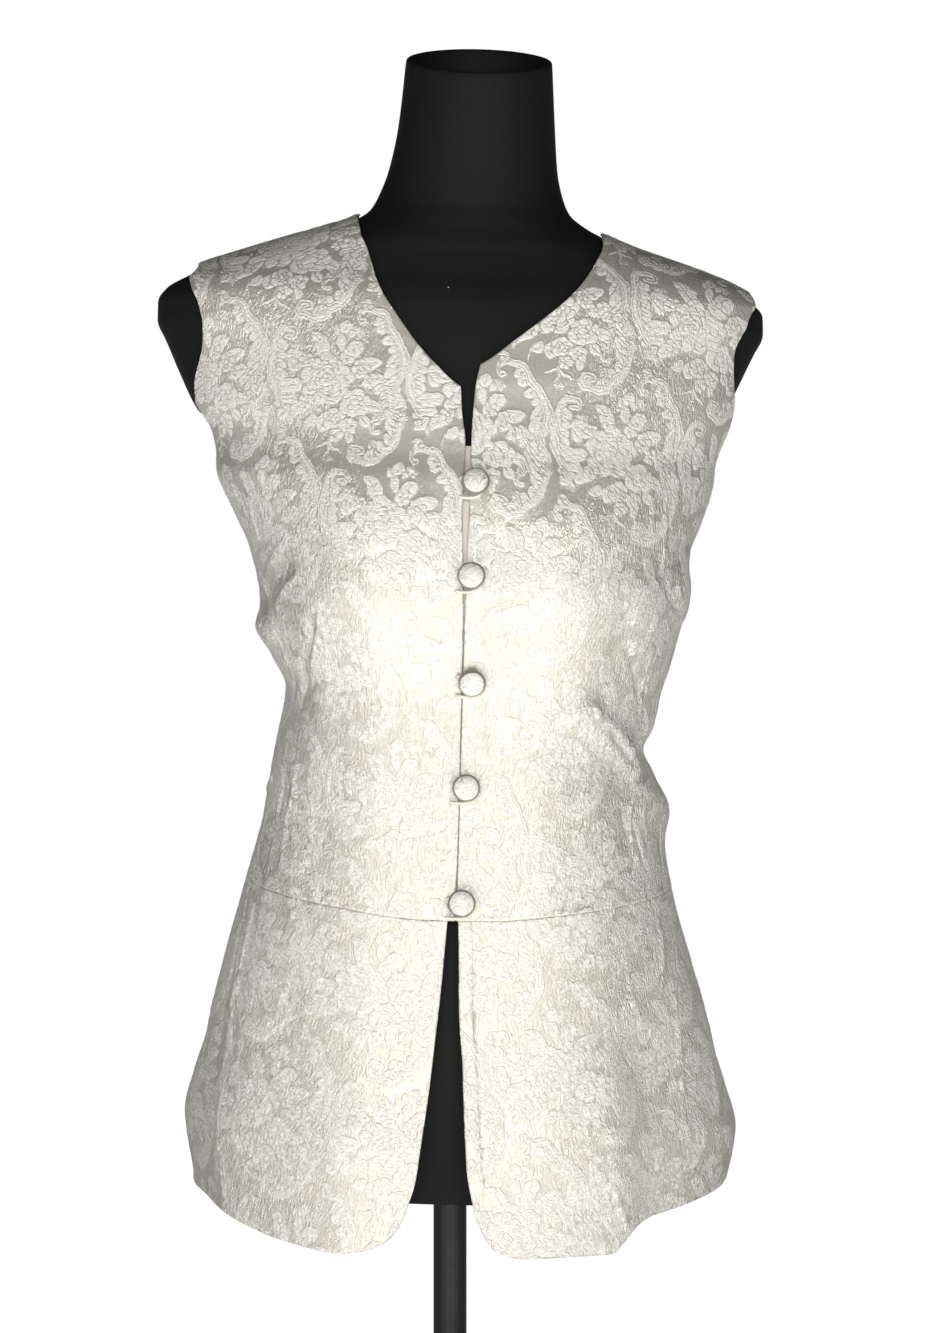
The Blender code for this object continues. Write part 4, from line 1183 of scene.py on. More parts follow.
def flatten(points, places, turn, hold):
    """Flat places whose distances are those on the cloth, with the grain turned this far."""
    flat = np.stack([np.radians(places[..., 0]) * FOLD_RADIUS, places[..., 1]], axis=-1)
    pairs = (
        ((slice(None), slice(0, -1)), (slice(None), slice(1, None))),
        ((slice(0, -1), slice(None)), (slice(1, None), slice(None))),
        ((slice(0, -1), slice(0, -1)), (slice(1, None), slice(1, None))),
        ((slice(1, None), slice(0, -1)), (slice(0, -1), slice(1, None))),
    )
    lengths = [np.linalg.norm(points[b] - points[a], axis=-1) for a, b in pairs]
    for _ in range(FLATTEN_ROUNDS):
        for (a, b), length in zip(pairs, lengths):
            gap = flat[b] - flat[a]
            now = np.linalg.norm(gap, axis=-1) + 1e-9
            move = (FLATTEN_SHARE * (1.0 - length / now))[..., None] * gap
            flat[a] += move
            flat[b] -= move
    column = 0 if hold == "edge" else flat.shape[1] // 2
    line = flat[flat.shape[0] // 2 :, column]
    along_grain = line[0] - line[-1]
    lean = math.atan2(along_grain[0], along_grain[1]) - math.radians(turn)
    c, s = math.cos(lean), math.sin(lean)
    return (flat - line[0]) @ np.array([[c, s], [-s, c]])


def length_along_rows(points):
    """Running length along each row of a grid."""
    steps = np.linalg.norm(np.diff(points, axis=1), axis=-1)
    return np.concatenate([np.zeros((len(points), 1)), np.cumsum(steps, axis=1)], axis=1)


def spread(values, across, down):
    """A coarse grid's values at finer shares across and down."""
    row = down * (values.shape[0] - 1)
    column = across * (values.shape[1] - 1)
    i = np.minimum(np.floor(row).astype(int), values.shape[0] - 2)
    j = np.minimum(np.floor(column).astype(int), values.shape[1] - 2)
    fi, fj = (row - i)[:, None, None], (column - j)[None, :, None]
    top = (1.0 - fj) * values[i][:, j] + fj * values[i][:, j + 1]
    low = (1.0 - fj) * values[i + 1][:, j] + fj * values[i + 1][:, j + 1]
    return (1.0 - fi) * top + fi * low


# Materials


def linear(colour):
    """A colour written as sRGB hex, as the shaders take it."""
    parts = [int(colour[at : at + 2], 16) / 255.0 for at in (1, 3, 5)]
    return tuple(v / 12.92 if v <= 0.04045 else ((v + 0.055) / 1.055) ** 2.4 for v in parts) + (1.0,)


def add_node(tree, kind, inputs=None, **settings):
    """A node with its settings, and its inputs set or linked."""
    node = tree.nodes.new(kind)
    for name, value in settings.items():
        setattr(node, name, value)
    for name, value in (inputs or {}).items():
        if isinstance(value, bpy.types.NodeSocket):
            tree.links.new(value, node.inputs[name])
        else:
            node.inputs[name].default_value = value
    return node


def new_material(name, **sockets):
    """A material, its node tree and its shader, with these sockets set."""
    material = bpy.data.materials.new(name)
    material.use_nodes = True
    tree = material.node_tree
    shader = tree.nodes["Principled BSDF"]
    for socket, value in sockets.items():
        shader.inputs[socket.replace("_", " ")].default_value = value
    return material, tree, shader


def mixed(tree, factor, low, high):
    """A colour between two, which are colours or the outputs of other nodes."""
    inputs = {"Factor": factor, 6: low, 7: high}
    return add_node(tree, "ShaderNodeMix", inputs, data_type="RGBA").outputs[2]


def ranged(tree, value, start, end, low=0.0, high=1.0, **settings):
    """A value carried from one range to another, and held at its ends."""
    inputs = {0: value, 1: start, 2: end, 3: low, 4: high}
    return add_node(tree, "ShaderNodeMapRange", inputs, **settings).outputs[0]


def worked(tree, operation, *values):
    """The result of one step of arithmetic."""
    return add_node(tree, "ShaderNodeMath", dict(enumerate(values)), operation=operation).outputs[0]


def noise(tree, place, scale, detail, **inputs):
    """Cloudy noise at a place."""
    inputs = {0: place, "Scale": scale, "Detail": detail, **inputs}
    return add_node(tree, "ShaderNodeTexNoise", inputs).outputs["Fac"]


def bumped(tree, height, distance, **inputs):
    """A surface turned as if it had this relief, in metres."""
    inputs = {"Height": height, "Distance": distance, **inputs}
    return add_node(tree, "ShaderNodeBump", inputs).outputs[0]


def wire(tree, shader, **sockets):
    """Links what the nodes make to the shader's sockets."""
    for name, output in sockets.items():
        tree.links.new(output, shader.inputs[name.replace("_", " ")])


# Waves in each millimetre, across the cloth and along its grain. The threads of the real silk are too fine
# to show, so the crinkle of the crepe and the slubs of the weft are drawn several times coarser
CREPE_WAVES = (0.27, 0.95, 1.0)
SLUB_WAVES = (0.13, 1.3, 1.0)
RUMPLE_WAVES = (0.42, 0.15, 1.0)
# The two weaves: their darkest and lightest colours, and how metallic and how rough they look
SATIN_COLOURS = ("#D6D1C4", "#E2DED2")
CREPE_COLOURS = ("#E2DED3", "#FFFDF5")
WEAVE_METALLIC = {"satin": 0.5, "crepe": 0.17}
WEAVE_ROUGHNESS = {"satin": 0.28, "crepe": 0.48}
# How high the weave and the crinkles stand, in metres
WEAVE_RELIEF = 0.00014
SLUB_SHARE = 0.22
RUMPLE_RELIEF = 0.0024


def silk_jacquard():
    """Silk jacquard, woven with a warp satin ground and figures of weft crepe.

    The satin's long floats mirror the room softly, so that the ground turns from white to grey with the
    light. The crepe figures are rougher and paler and hardly change, so they stand out where the ground is
    grey and sink where it is bright. The weft's slubs streak the ground, and crushed silk is finely crinkled.
    """
    material, tree, shader = new_material("ivory_silk_jacquard_cloth", IOR=1.5)
    figure, line, crush = (
        add_node(tree, "ShaderNodeAttribute", attribute_name=name).outputs["Fac"]
        for name in ("figure", "line", "crush")
    )
    flat = add_node(tree, "ShaderNodeAttribute", attribute_name="flat").outputs["Vector"]
    crepe_place, slub_place, rumple_place = (
        add_node(tree, "ShaderNodeMapping", {0: flat, 3: waves}, vector_type="POINT").outputs[0]
        for waves in (CREPE_WAVES, SLUB_WAVES, RUMPLE_WAVES)
    )
    drawn = ranged(tree, line, 0.2, 0.7, interpolation_type="SMOOTHSTEP")
    filled = ranged(tree, figure, -0.12, 0.3, interpolation_type="SMOOTHSTEP")
    woven = worked(tree, "MULTIPLY", filled, worked(tree, "MULTIPLY_ADD", drawn, -0.9, 1.0))
    crinkle = ranged(tree, noise(tree, crepe_place, 1.0, 3.0), 0.36, 0.64)
    weft = noise(tree, slub_place, 1.0, 2.0)
    satin = mixed(tree, ranged(tree, weft, 0.3, 0.7), *map(linear, SATIN_COLOURS))
    crepe = mixed(tree, crinkle, *map(linear, CREPE_COLOURS))
    raised = worked(tree, "MULTIPLY_ADD", woven, 1.0, worked(tree, "MULTIPLY", woven, crinkle))
    height = worked(tree, "MULTIPLY_ADD", weft, SLUB_SHARE, raised)
    rumple = noise(tree, rumple_place, 1.0, 3.0, Distortion=2.4)
    woven_face = bumped(tree, height, WEAVE_RELIEF, Strength=1.0)
    wire(
        tree, shader,
        Base_Color=mixed(tree, woven, satin, crepe),
        Metallic=ranged(tree, woven, 0.0, 1.0, *WEAVE_METALLIC.values()),
        Roughness=ranged(tree, woven, 0.0, 1.0, *WEAVE_ROUGHNESS.values()),
        Normal=bumped(tree, worked(tree, "MULTIPLY", rumple, crush), RUMPLE_RELIEF, Normal=woven_face),
    )
    return material


def plain_satin(name, colours, scale):
    """Plain silk satin, woven fine: a soft gloss, with the threads as a faint ribbing."""
    material, tree, shader = new_material(name, Metallic=0.15, Roughness=0.45, Sheen_Weight=0.15)
    place = add_node(tree, "ShaderNodeTexCoord").outputs["Object"]
    threads = noise(tree, place, scale, 3.0)
    tint = mixed(tree, threads, *map(linear, colours))
    wire(tree, shader, Base_Color=tint, Normal=bumped(tree, threads, 0.0001))
    return material


def form_shell():
    """Moulded glass-fibre plastic, sprayed matte black: even and dull, with a fine spray texture and lint."""
    material, tree, shader = new_material("black_form_shell_coat", Roughness=0.7, Specular_IOR_Level=0.22)
    place = add_node(tree, "ShaderNodeTexCoord").outputs["Object"]
    paint = mixed(tree, noise(tree, place, 14.0, 2.0), linear("#111311"), linear("#181B18"))
    cells = add_node(tree, "ShaderNodeTexVoronoi", {0: place, "Scale": 42.0})
    chance = add_node(tree, "ShaderNodeSeparateColor", {0: cells.outputs["Color"]}).outputs[0]
    near = worked(tree, "LESS_THAN", cells.outputs["Distance"], 0.035)
    lint = worked(tree, "MULTIPLY", near, worked(tree, "GREATER_THAN", chance, 0.93))
    wire(
        tree, shader,
        Base_Color=mixed(tree, lint, paint, linear("#C9C9C4")),
        Normal=bumped(tree, noise(tree, place, 900.0, 3.0), 0.00015),
    )
    return material


def black_steel():
    """Mild steel, powder coated black: a satin skin with a fine orange peel and faint handling marks."""
    material, tree, shader = new_material("black_powder_coated_steel", IOR=1.5)
    place = add_node(tree, "ShaderNodeTexCoord").outputs["Object"]
    marks = noise(tree, place, 40.0, 4.0)
    worn = ranged(tree, marks, 0.62, 0.72)
    wire(
        tree, shader,
        Base_Color=mixed(tree, worn, linear("#1A1B1C"), linear("#2E2F30")),
        Roughness=ranged(tree, marks, 0.0, 1.0, 0.34, 0.52),
        Normal=bumped(tree, noise(tree, place, 700.0, 2.0), 0.0001),
    )
    return material


SILK = silk_jacquard()
LOOP_SATIN = plain_satin("loop_satin", ("#D8D3C6", "#F0EBDD"), 900.0)
UNDERLAP_SATIN = plain_satin("underlap_satin", ("#DCCFC4", "#EDE2D8"), 700.0)
# The covering pulled under a button's edge, painted grey: painted shade that stands in for the shadow round
# the rim
BUTTON_RIM_PAINTED_SHADE = plain_satin("button_rim_painted_shade_satin", ("#827D72", "#969186"), 700.0)
# The inside of the cloth: the same ivory silk painted dark grey, painted shade for the inside that the light
# hardly reaches
INSIDE_PAINTED_SHADE_SATIN = plain_satin("inside_painted_shade_satin", ("#5B5750", "#6A665E"), 500.0)
FORM_SHELL = form_shell()
STEEL = black_steel()


# Pieces


def add_piece(name, points, faces, materials, nodes):
    """A piece in metres that stands for these CAD nodes and rides on the part's one body."""
    mesh = bpy.data.meshes.new(name)
    mesh.from_pydata(np.asarray(points, float).reshape(-1, 3).tolist(), [], faces)
    for polygon in mesh.polygons:
        polygon.use_smooth = True
    for material in materials:
        mesh.materials.append(material)
    mesh.set_sharp_from_angle(angle=math.radians(SHARP_ANGLE))
    piece = bpy.data.objects.new(name, mesh)
    bpy.context.scene.collection.objects.link(piece)
    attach(piece, "root")
    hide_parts(*nodes)
    return piece


def shares(count, length):
    """Shares across a panel, even but for a few close lines beside its two edges."""
    near = np.array(EDGE_STEPS) / length
    even = np.linspace(0.0, 1.0, count + 1)[1:-1]
    even = even[(even > 1.5 * near[-1]) & (even < 1.0 - 1.5 * near[-1])]
    return np.concatenate([[0.0], near, even, 1.0 - near[::-1], [1.0]])


def wall_faces(rows, columns, inner_rows, inner_columns):
    """Faces of a closed wall: a fine outer grid, a coarse inner one and the rim between them."""
    outer = np.arange(rows * columns).reshape(rows, columns)
    inner = outer.size + np.arange(len(inner_rows) * len(inner_columns)).reshape(len(inner_rows), -1)
    stacked = [
        np.stack([outer[:-1, :-1], outer[1:, :-1], outer[1:, 1:], outer[:-1, 1:]], axis=-1),
        np.stack([inner[:-1, :-1], inner[:-1, 1:], inner[1:, 1:], inner[1:, :-1]], axis=-1),
    ]
    faces = [face for grid in stacked for face in grid.reshape(-1, 4).tolist()]
    sides = (
        (outer[:, 0], inner[:, 0], inner_rows),
        (outer[-1], inner[-1], inner_columns),
        (outer[::-1, -1], inner[::-1, -1], rows - 1 - inner_rows[::-1]),
        (outer[0, ::-1], inner[0, ::-1], columns - 1 - inner_columns[::-1]),
    )
    for fine, coarse, marks in sides:
        for step, (start, end) in enumerate(zip(marks[:-1], marks[1:])):
            run = fine[start : end + 1][::-1].tolist()
            faces.append(run + [int(coarse[step]), int(coarse[step + 1])])
    return faces


def from_edge(grid, edge):
    """A grid turned so that this edge is its first column. Done twice, it turns the grid back."""
    return {
        "inner": grid, "outer": grid[:, ::-1],
        "top": grid.swapaxes(0, 1), "bottom": grid[::-1, ::-1].swapaxes(0, 1),
    }[edge]


def edge_reach(points, edge):
    """How far each place of a grid is from one of its edges, square to it."""
    grid = from_edge(points, edge)
    first, border = grid[:, 1] - grid[:, 0], np.gradient(grid[:, 0], axis=0)
    square = np.linalg.norm(np.cross(first, border), axis=-1)
    square /= np.linalg.norm(first, axis=-1) * np.linalg.norm(border, axis=-1)
    return from_edge(length_along_rows(grid) * square[:, None], edge)


def edge_run(points, edge):
    """Running length along the edge of a grid, given to every place of it."""
    line = {"inner": points[:, 0], "outer": points[:, -1], "top": points[0], "bottom": points[-1]}[edge]
    run = length_along(line)
    return run[:, None] if edge in ("inner", "outer") else run[None, :]


def eased(share):
    """A share from 0 to 1 that starts and ends slowly."""
    return share * share * (3.0 - 2.0 * share)


def uneven(run, step, seed):
    """A smooth uneven value between -1 and 1 along a length, a new one every so many millimetres."""
    values = np.random.default_rng(seed).uniform(-1.0, 1.0, UNEVEN_COUNT)
    at = np.abs(run) / step
    whole = np.floor(at).astype(int)
    share = eased(at - whole)
    return (1.0 - share) * values[whole % UNEVEN_COUNT] + share * values[(whole + 1) % UNEVEN_COUNT]


def turned_edge(reach, radius):
    """How far a turned edge's face drops toward its rim."""
    inside = np.clip(1.0 - reach / radius, 0.0, 1.0)
    return radius * (1.0 - np.sqrt(1.0 - inside**2))


def hollow(reach, place, width):
    """A soft line beside an edge, 1 in its middle."""
    return np.exp(-(((reach - place) / width) ** 2))


def sewing(points, edges, seed):
    """How far the face goes in along edges, seams and facings, with small puckers beside the seams."""
    total = np.zeros(points.shape[:2])
    for number, (edge, kind, first, last) in enumerate(edges):
        reach = edge_reach(points, edge)
        upright = edge in ("inner", "outer")
        held = np.linspace(0.0, 1.0, points.shape[0 if upright else 1])
        held = (held >= first) & (held <= last)
        held = held[:, None] if upright else held[None, :]
        if kind == "facing":
            depth = FACING_DEPTH * hollow(reach, FACING_WIDTH, GROOVE)
        elif kind == "strip":
            depth = STRIP_DEPTH * hollow(reach, STRIP_WIDTH, GROOVE)
            depth -= STRIP_SWELL * np.sin(np.pi * np.clip(reach / STRIP_WIDTH, 0.0, 1.0))
        else:
            depth = turned_edge(reach, EDGE_ROUND if kind == "edge" else SEAM_ROUND)
            if kind == "seam":
                depth -= SEAM_SWELL * hollow(reach, SEAM_SWELL_PLACE, SEAM_SWELL_WIDTH)
            run = edge_run(points, edge)
            draw = seed + 7 * number
            pucker = 1.0 - PUCKER_CHANGE + PUCKER_CHANGE * uneven(run, PUCKER_GROUP, draw + 1)
            pucker = pucker * uneven(run, PUCKER_STEP, draw)
            fade = hollow(reach, 0.0, PUCKER_REACH) * np.clip(reach / PUCKER_START, 0.0, 1.0)
            depth += PUCKER_DEPTH[kind] * pucker * fade
        total = total + np.where(held, depth, 0.0)
    return total


def crushed(angle, height):
    """How finely crushed the silk is: most at the sides, less behind, least on the chest."""
    turned = np.abs(half_turn(angle))
    low = np.clip((CHEST_HEIGHT - height) / CHEST_FADE, 0.0, 1.0)
    side = np.clip((turned - SIDE_START) / SIDE_FADE, 0.0, 1.0)
    side = side * (1.0 - CRUSH_BEHIND * np.clip((turned - BACK_START) / BACK_FADE, 0.0, 1.0))
    side = side * (CRUSH_ABOVE + (1.0 - CRUSH_ABOVE) * low)
    return CRUSH_LEAST + CRUSH_LOW * low + CRUSH_SIDE * side


def finish_second(piece, first, count):
    """Gives a run of a piece's faces its second material."""
    marks = np.zeros(len(piece.data.polygons), int)
    marks[first : first + count] = 1
    piece.data.polygons.foreach_set("material_index", marks)


def every(count):
    """The numbers of the lines that the coarser inner side keeps."""
    return np.unique(np.append(np.arange(0, count, LINING_STEP), count - 1))


def add_panel(name, lines, cells, edges, flat, seed):
    """A panel of the silk, with its turned edges, seams, puckers and woven relief.

    How it lies flat: the cells it is flattened in, its side, how far its grain is turned, the column that
    holds the grain, where the repeat starts, and its size and area, which are not used.
    """
    across, down = shares(cells[1], PANEL_WIDTH), shares(cells[0], PANEL_LENGTH)
    if flat["rows"] is not None:
        down = np.interp(down, *flat["rows"])
    coarse_down, coarse_across = (np.linspace(0.0, 1.0, count + 1) for count in flat["cells"])
    places, coarse = patch(*lines, across, down), patch(*lines, coarse_across, coarse_down)
    mirrored = flat["side"] == "right"
    if mirrored:
        places[..., 0] *= -1.0
        coarse[..., 0] *= -1.0
    base, outward = cloth_and_outward(places[..., 0], places[..., 1])
    laid = flatten(cloth(coarse[..., 0], coarse[..., 1]), coarse, flat["turn"], flat["hold"])
    laid = spread(laid, across, down)
    spot = laid + flat["shift"]
    figure, line = (read_repeat(values, spot[..., 0], spot[..., 1]) for values in JACQUARD)
    woven = eased(np.clip((figure + SLOPE_START) / SLOPE_WIDTH, 0.0, 1.0))
    depth = sewing(base, edges, seed) - RELIEF * woven + 0.5 * RELIEF * line
    outer = base - depth[..., None] * outward
    inner_rows, inner_columns = every(len(down)), every(len(across))
    inner = (base - CLOTH_THICK * outward)[inner_rows][:, inner_columns]
    values = {"figure": figure, "line": line, "flat": laid, "crush": crushed(places[..., 0], places[..., 1])}
    if mirrored:
        outer, inner = outer[:, ::-1], inner[:, ::-1]
        inner_columns = len(across) - 1 - inner_columns[::-1]
        values = {key: value[:, ::-1] for key, value in values.items()}
    faces = wall_faces(len(down), len(across), inner_rows, inner_columns)
    points = on_stand(np.concatenate([outer.reshape(-1, 3), inner.reshape(-1, 3)]))
    piece = add_piece(name + "_silk", points, faces, [SILK, INSIDE_PAINTED_SHADE_SATIN], [name])
    set_values(piece, values, len(across) * len(down))
    outer_faces = (len(across) - 1) * (len(down) - 1)
    # The inner side's faces get the second material, the dark grey painted shade
    finish_second(piece, outer_faces, (len(inner_rows) - 1) * (len(inner_columns) - 1))


def set_values(piece, values, count):
    """Writes how the weave lies at the outer points, and a plain ground at the others."""
    for name, at_points in values.items():
        wide = 3 if name == "flat" else 1
        every_point = np.full((len(piece.data.vertices), wide), -FIGURE_REACH if name == "figure" else 0.0)
        at_points = at_points.reshape(count, -1)
        every_point[:count, : at_points.shape[1]] = at_points
        attribute = piece.data.attributes.new(name, "FLOAT_VECTOR" if wide == 3 else "FLOAT", "POINT")
        attribute.data.foreach_set("vector" if wide == 3 else "value", every_point.ravel())


# What each panel's edges are, and between which shares of their length
ARMHOLE_END = ARMHOLE_ROWS / (NECK_ROWS + EDGE_ROWS)
NECK_END = NECK_ROWS / (NECK_ROWS + EDGE_ROWS)
SHOULDER_END = SHOULDER_COLUMNS / (2 * SHOULDER_COLUMNS + BACK_NECK_COLUMNS)
STRIP_END = 0.78
FRONT_EDGES = (
    ("inner", "edge", 0.0, 1.0), ("outer", "edge", 0.0, ARMHOLE_END), ("outer", "seam", ARMHOLE_END, 1.0),
    ("top", "seam", 0.0, 1.0), ("bottom", "seam", 0.0, 1.0),
)
LEFT_FRONT_EDGES = FRONT_EDGES + (("inner", "facing", 0.0, NECK_END),)
BACK_EDGES = (
    ("inner", "edge", 0.0, ARMHOLE_END), ("inner", "seam", ARMHOLE_END, 1.0),
    ("outer", "edge", 0.0, ARMHOLE_END), ("outer", "seam", ARMHOLE_END, 1.0),
    ("top", "seam", 0.0, SHOULDER_END), ("top", "edge", SHOULDER_END, 1.0 - SHOULDER_END),
    ("top", "seam", 1.0 - SHOULDER_END, 1.0), ("bottom", "seam", 0.0, 1.0),
)
PEPLUM_FRONT_EDGES = (
    ("top", "seam", 0.0, 1.0), ("outer", "seam", 0.0, 1.0), ("inner", "edge", 0.0, 1.0),
    ("bottom", "edge", 0.0, 1.0),
)
PEPLUM_LEFT_EDGES = PEPLUM_FRONT_EDGES + (("inner", "strip", 0.0, STRIP_END),)
PEPLUM_BACK_EDGES = (
    ("top", "seam", 0.0, 1.0), ("outer", "seam", 0.0, 1.0), ("inner", "seam", 0.0, 1.0),
    ("bottom", "edge", 0.0, 1.0),
)
# The rows of a front lie closer on the chest: these shares of them at these shares of its length
FRONT_ROWS = ((0.0, 0.58, 1.0), (0.0, 0.42, 1.0))


def add_waistcoat():
    """Two fronts, a back and the three pieces of the peplum."""
    fine = {"cells": (52, 28), "rows": FRONT_ROWS}
    add_panel("front_left", front_lines("left"), (470, 186), LEFT_FRONT_EDGES, {
        **fine, "side": "left", "turn": -12.0, "hold": "edge", "shift": (-92.0, -21.0),
        "size": (0.218, 0.537), "area": 0.0780}, 11)
    add_panel("front_right", front_lines("right"), (470, 186), FRONT_EDGES, {
        **fine, "side": "right", "turn": 0.0, "hold": "edge", "shift": (90.0, -59.0),
        "size": (0.209, 0.534), "area": 0.0775}, 21)
    add_panel("back", back_lines(), (330, 250), BACK_EDGES, {
        "cells": (40, 60), "rows": None, "side": "left", "turn": 0.0, "hold": "middle", "shift": (10.0, 20.0),
        "size": (0.484, 0.544), "area": 0.1908}, 31)
    small = {"cells": (24, 24), "rows": None}
    add_panel("peplum_left", peplum_front_lines("left"), (170, 160), PEPLUM_LEFT_EDGES, {
        **small, "side": "left", "turn": 4.0, "hold": "edge", "shift": (30.0, 10.0),
        "size": (0.163, 0.216), "area": 0.0321}, 41)
    add_panel("peplum_right", peplum_front_lines("right"), (170, 160), PEPLUM_FRONT_EDGES, {
        **small, "side": "right", "turn": -4.0, "hold": "edge", "shift": (10.0, 50.0),
        "size": (0.157, 0.215), "area": 0.0302}, 51)
    add_panel("peplum_back", peplum_back_lines(), (150, 420), PEPLUM_BACK_EDGES, {
        "cells": (24, 60), "rows": None, "side": "left", "turn": 0.0, "hold": "middle", "shift": (0.0, 0.0),
        "size": (0.721, 0.222), "area": 0.1327}, 61)


def signed_angle(across, height):
    """The angle of a place this far to the wearer's left of the middle."""
    left, right = (angle_across(np.abs(across), height, side) for side in ("left", "right"))
    return np.where(np.asarray(across) > 0.0, left, -right)


def add_underlap():
    """The strip behind the closure."""
    heights = np.linspace(*UNDERLAP_SPAN, UNDERLAP_ROWS)
    across = np.linspace(*UNDERLAP_REACH, UNDERLAP_COLUMNS)
    places = np.stack(np.meshgrid(across, heights), axis=-1)
    places[..., 0] = signed_angle(places[..., 0], places[..., 1])
    inward = CLOTH_THICK + UNDERLAP_GAP
    outer = cloth(places[..., 0], places[..., 1], inward)
    inner = cloth(places[..., 0], places[..., 1], inward + UNDERLAP_THICK)
    rows, columns = np.arange(len(heights)), np.arange(len(across))
    faces = wall_faces(len(heights), len(across), rows, columns)
    points = on_stand(np.concatenate([outer.reshape(-1, 3), inner.reshape(-1, 3)]))
    piece = add_piece("underlap_silk", points, faces, [UNDERLAP_SATIN], ["underlap"])


def ring_faces(rings, spokes):
    """Faces of a closed tube or turned shape made of rings, bottom ring first."""
    number = np.arange(rings * spokes).reshape(rings, spokes)
    after = np.roll(number, -1, axis=1)
    faces = np.stack([number[:-1], after[:-1], after[1:], number[1:]], axis=-1).reshape(-1, 4).tolist()
    return faces + [number[0][::-1].tolist(), number[-1].tolist()]


def turned_points(profile, spokes):
    """Rings of points round the vertical axis from half an outline, drawn from the bottom up."""
    turn = np.linspace(0.0, 2.0 * math.pi, spokes, endpoint=False)
    profile = np.array(profile, float)
    radius, height = profile[:, :1], profile[:, 1:]
    return np.stack([radius * np.cos(turn), radius * np.sin(turn), height + 0.0 * turn], axis=-1)


SHANK_MIDDLE = 0.6
SHANK_FLARE = 0.2
BUTTON_SPOKES = 96
DOME_RINGS = 34
DOME_TURN = (-12.0, 88.0)
# This many of the lowest rows of faces are under the edge; they take the grey painted shade round the rim
RIM_ROWS = 19
# The covering: how far it is stretched toward the rim, where in the repeat each one is cut, and its gathers
COVER_STRETCH = 0.12
COVER_STEP = (31.0, 17.0)
COVER_FIGURE = 0.6
COVER_RELIEF = 0.14
COVER_LINE = 0.12
GATHERS = 31.0
GATHER_DEPTH = 0.10


def button_profile():
    """Half the outline of a covered button on its shank, from the cloth up to the crown."""
    under = BUTTON_RADIUS - UNDER_EDGE
    outline = [(SHANK_MIDDLE, 0.0), (SHANK_RADIUS, 0.0), (SHANK_RADIUS, SHANK_HEIGHT - SHANK_FLARE)]
    outline += [(under - UNDER_EDGE, SHANK_HEIGHT), (under, SHANK_HEIGHT)]
    for turn in np.radians(np.linspace(*DOME_TURN, DOME_RINGS)):
        height = SHANK_HEIGHT + EDGE_HEIGHT + (DOME_HEIGHT - EDGE_HEIGHT) * math.sin(turn)
        outline.append((BUTTON_RADIUS * math.cos(turn), height))
    return outline


def add_buttons():
    """Five buttons covered in the jacquard, drawn tight over their domes."""
    for number, (across, height) in enumerate(zip(BUTTONS["across"], BUTTONS["height"]), 1):
        points = turned_points(button_profile(), BUTTON_SPOKES)
        radius = np.hypot(points[..., 0], points[..., 1])
        out = radius / BUTTON_RADIUS
        turn = np.arctan2(points[..., 1], points[..., 0])
        over = points[..., 2] > SHANK_HEIGHT + 0.1
        laid = points[..., :2] * (1.0 + COVER_STRETCH * out**2)[..., None] + np.array(COVER_STEP) * number
        figure, line = (read_repeat(values, laid[..., 0], laid[..., 1]) for values in JACQUARD)
        figure = np.maximum(figure, COVER_FIGURE)
        gather = GATHER_DEPTH * np.sin(GATHERS * turn + 2.0 * np.sin(3.0 * turn + number)) * out**10
        woven = COVER_RELIEF * np.clip(figure, -0.5, 0.5) - COVER_LINE * line
        lift = np.where(over, gather + woven, 0.0)
        points[..., :2] *= (1.0 + lift / np.maximum(radius, 2.0))[..., None]
        points[..., 2] += lift * np.where(over, 1.0 - 0.8 * out, 0.0)
        angle = float(signed_angle(across, height))
        seat, tip = on_stand(cloth([angle, angle], [height, height], np.array([[-TRIM_GAP], [-10.0]])))
        lean = np.array(Vector(tip - seat).to_track_quat("Z", "Y").to_matrix())
        placed = points.reshape(-1, 3) * MILLIMETRE @ lean.T + seat
        name = f"button_{number}"
        faces = ring_faces(len(points), BUTTON_SPOKES)
        silks = [SILK, BUTTON_RIM_PAINTED_SHADE]
        piece = add_piece(name + "_covered", placed, faces, silks, [name])
        values = {"figure": figure, "line": line, "flat": laid, "crush": CRUSH_BUTTON + 0.0 * line}
        set_values(piece, values, line.size)
        # The lowest rows round the rim get the second material, grey satin that is painted shade
        finish_second(piece, 0, RIM_ROWS * BUTTON_SPOKES)


LOOP_STEPS = 90
LOOP_SPOKES = 20
LOOP_UNEVEN = 0.04
LOOP_WAVES = 2.4
LOOP_END = 0.4
LOOP_END_LENGTH = 1.2
# Any direction that the loops don't start in
SLANTED = (0.3, 0.5, 0.8)


def tube_rings(centres, radius, spokes):
    """Rings of points round a smooth line, with a frame that turns as little as it can."""
    step = np.gradient(centres, axis=0)
    step /= np.linalg.norm(step, axis=1, keepdims=True)
    side = np.cross(step[0], SLANTED)
    rings = []
    turn = np.linspace(0.0, 2.0 * math.pi, spokes, endpoint=False)[:, None]
    for centre, ahead, size in zip(centres, step, radius):
        side = side - np.dot(side, ahead) * ahead
        side = side / np.linalg.norm(side)
        up = np.cross(ahead, side)
        rings.append(centre + size * (np.cos(turn) * side + np.sin(turn) * up))
    return np.array(rings)


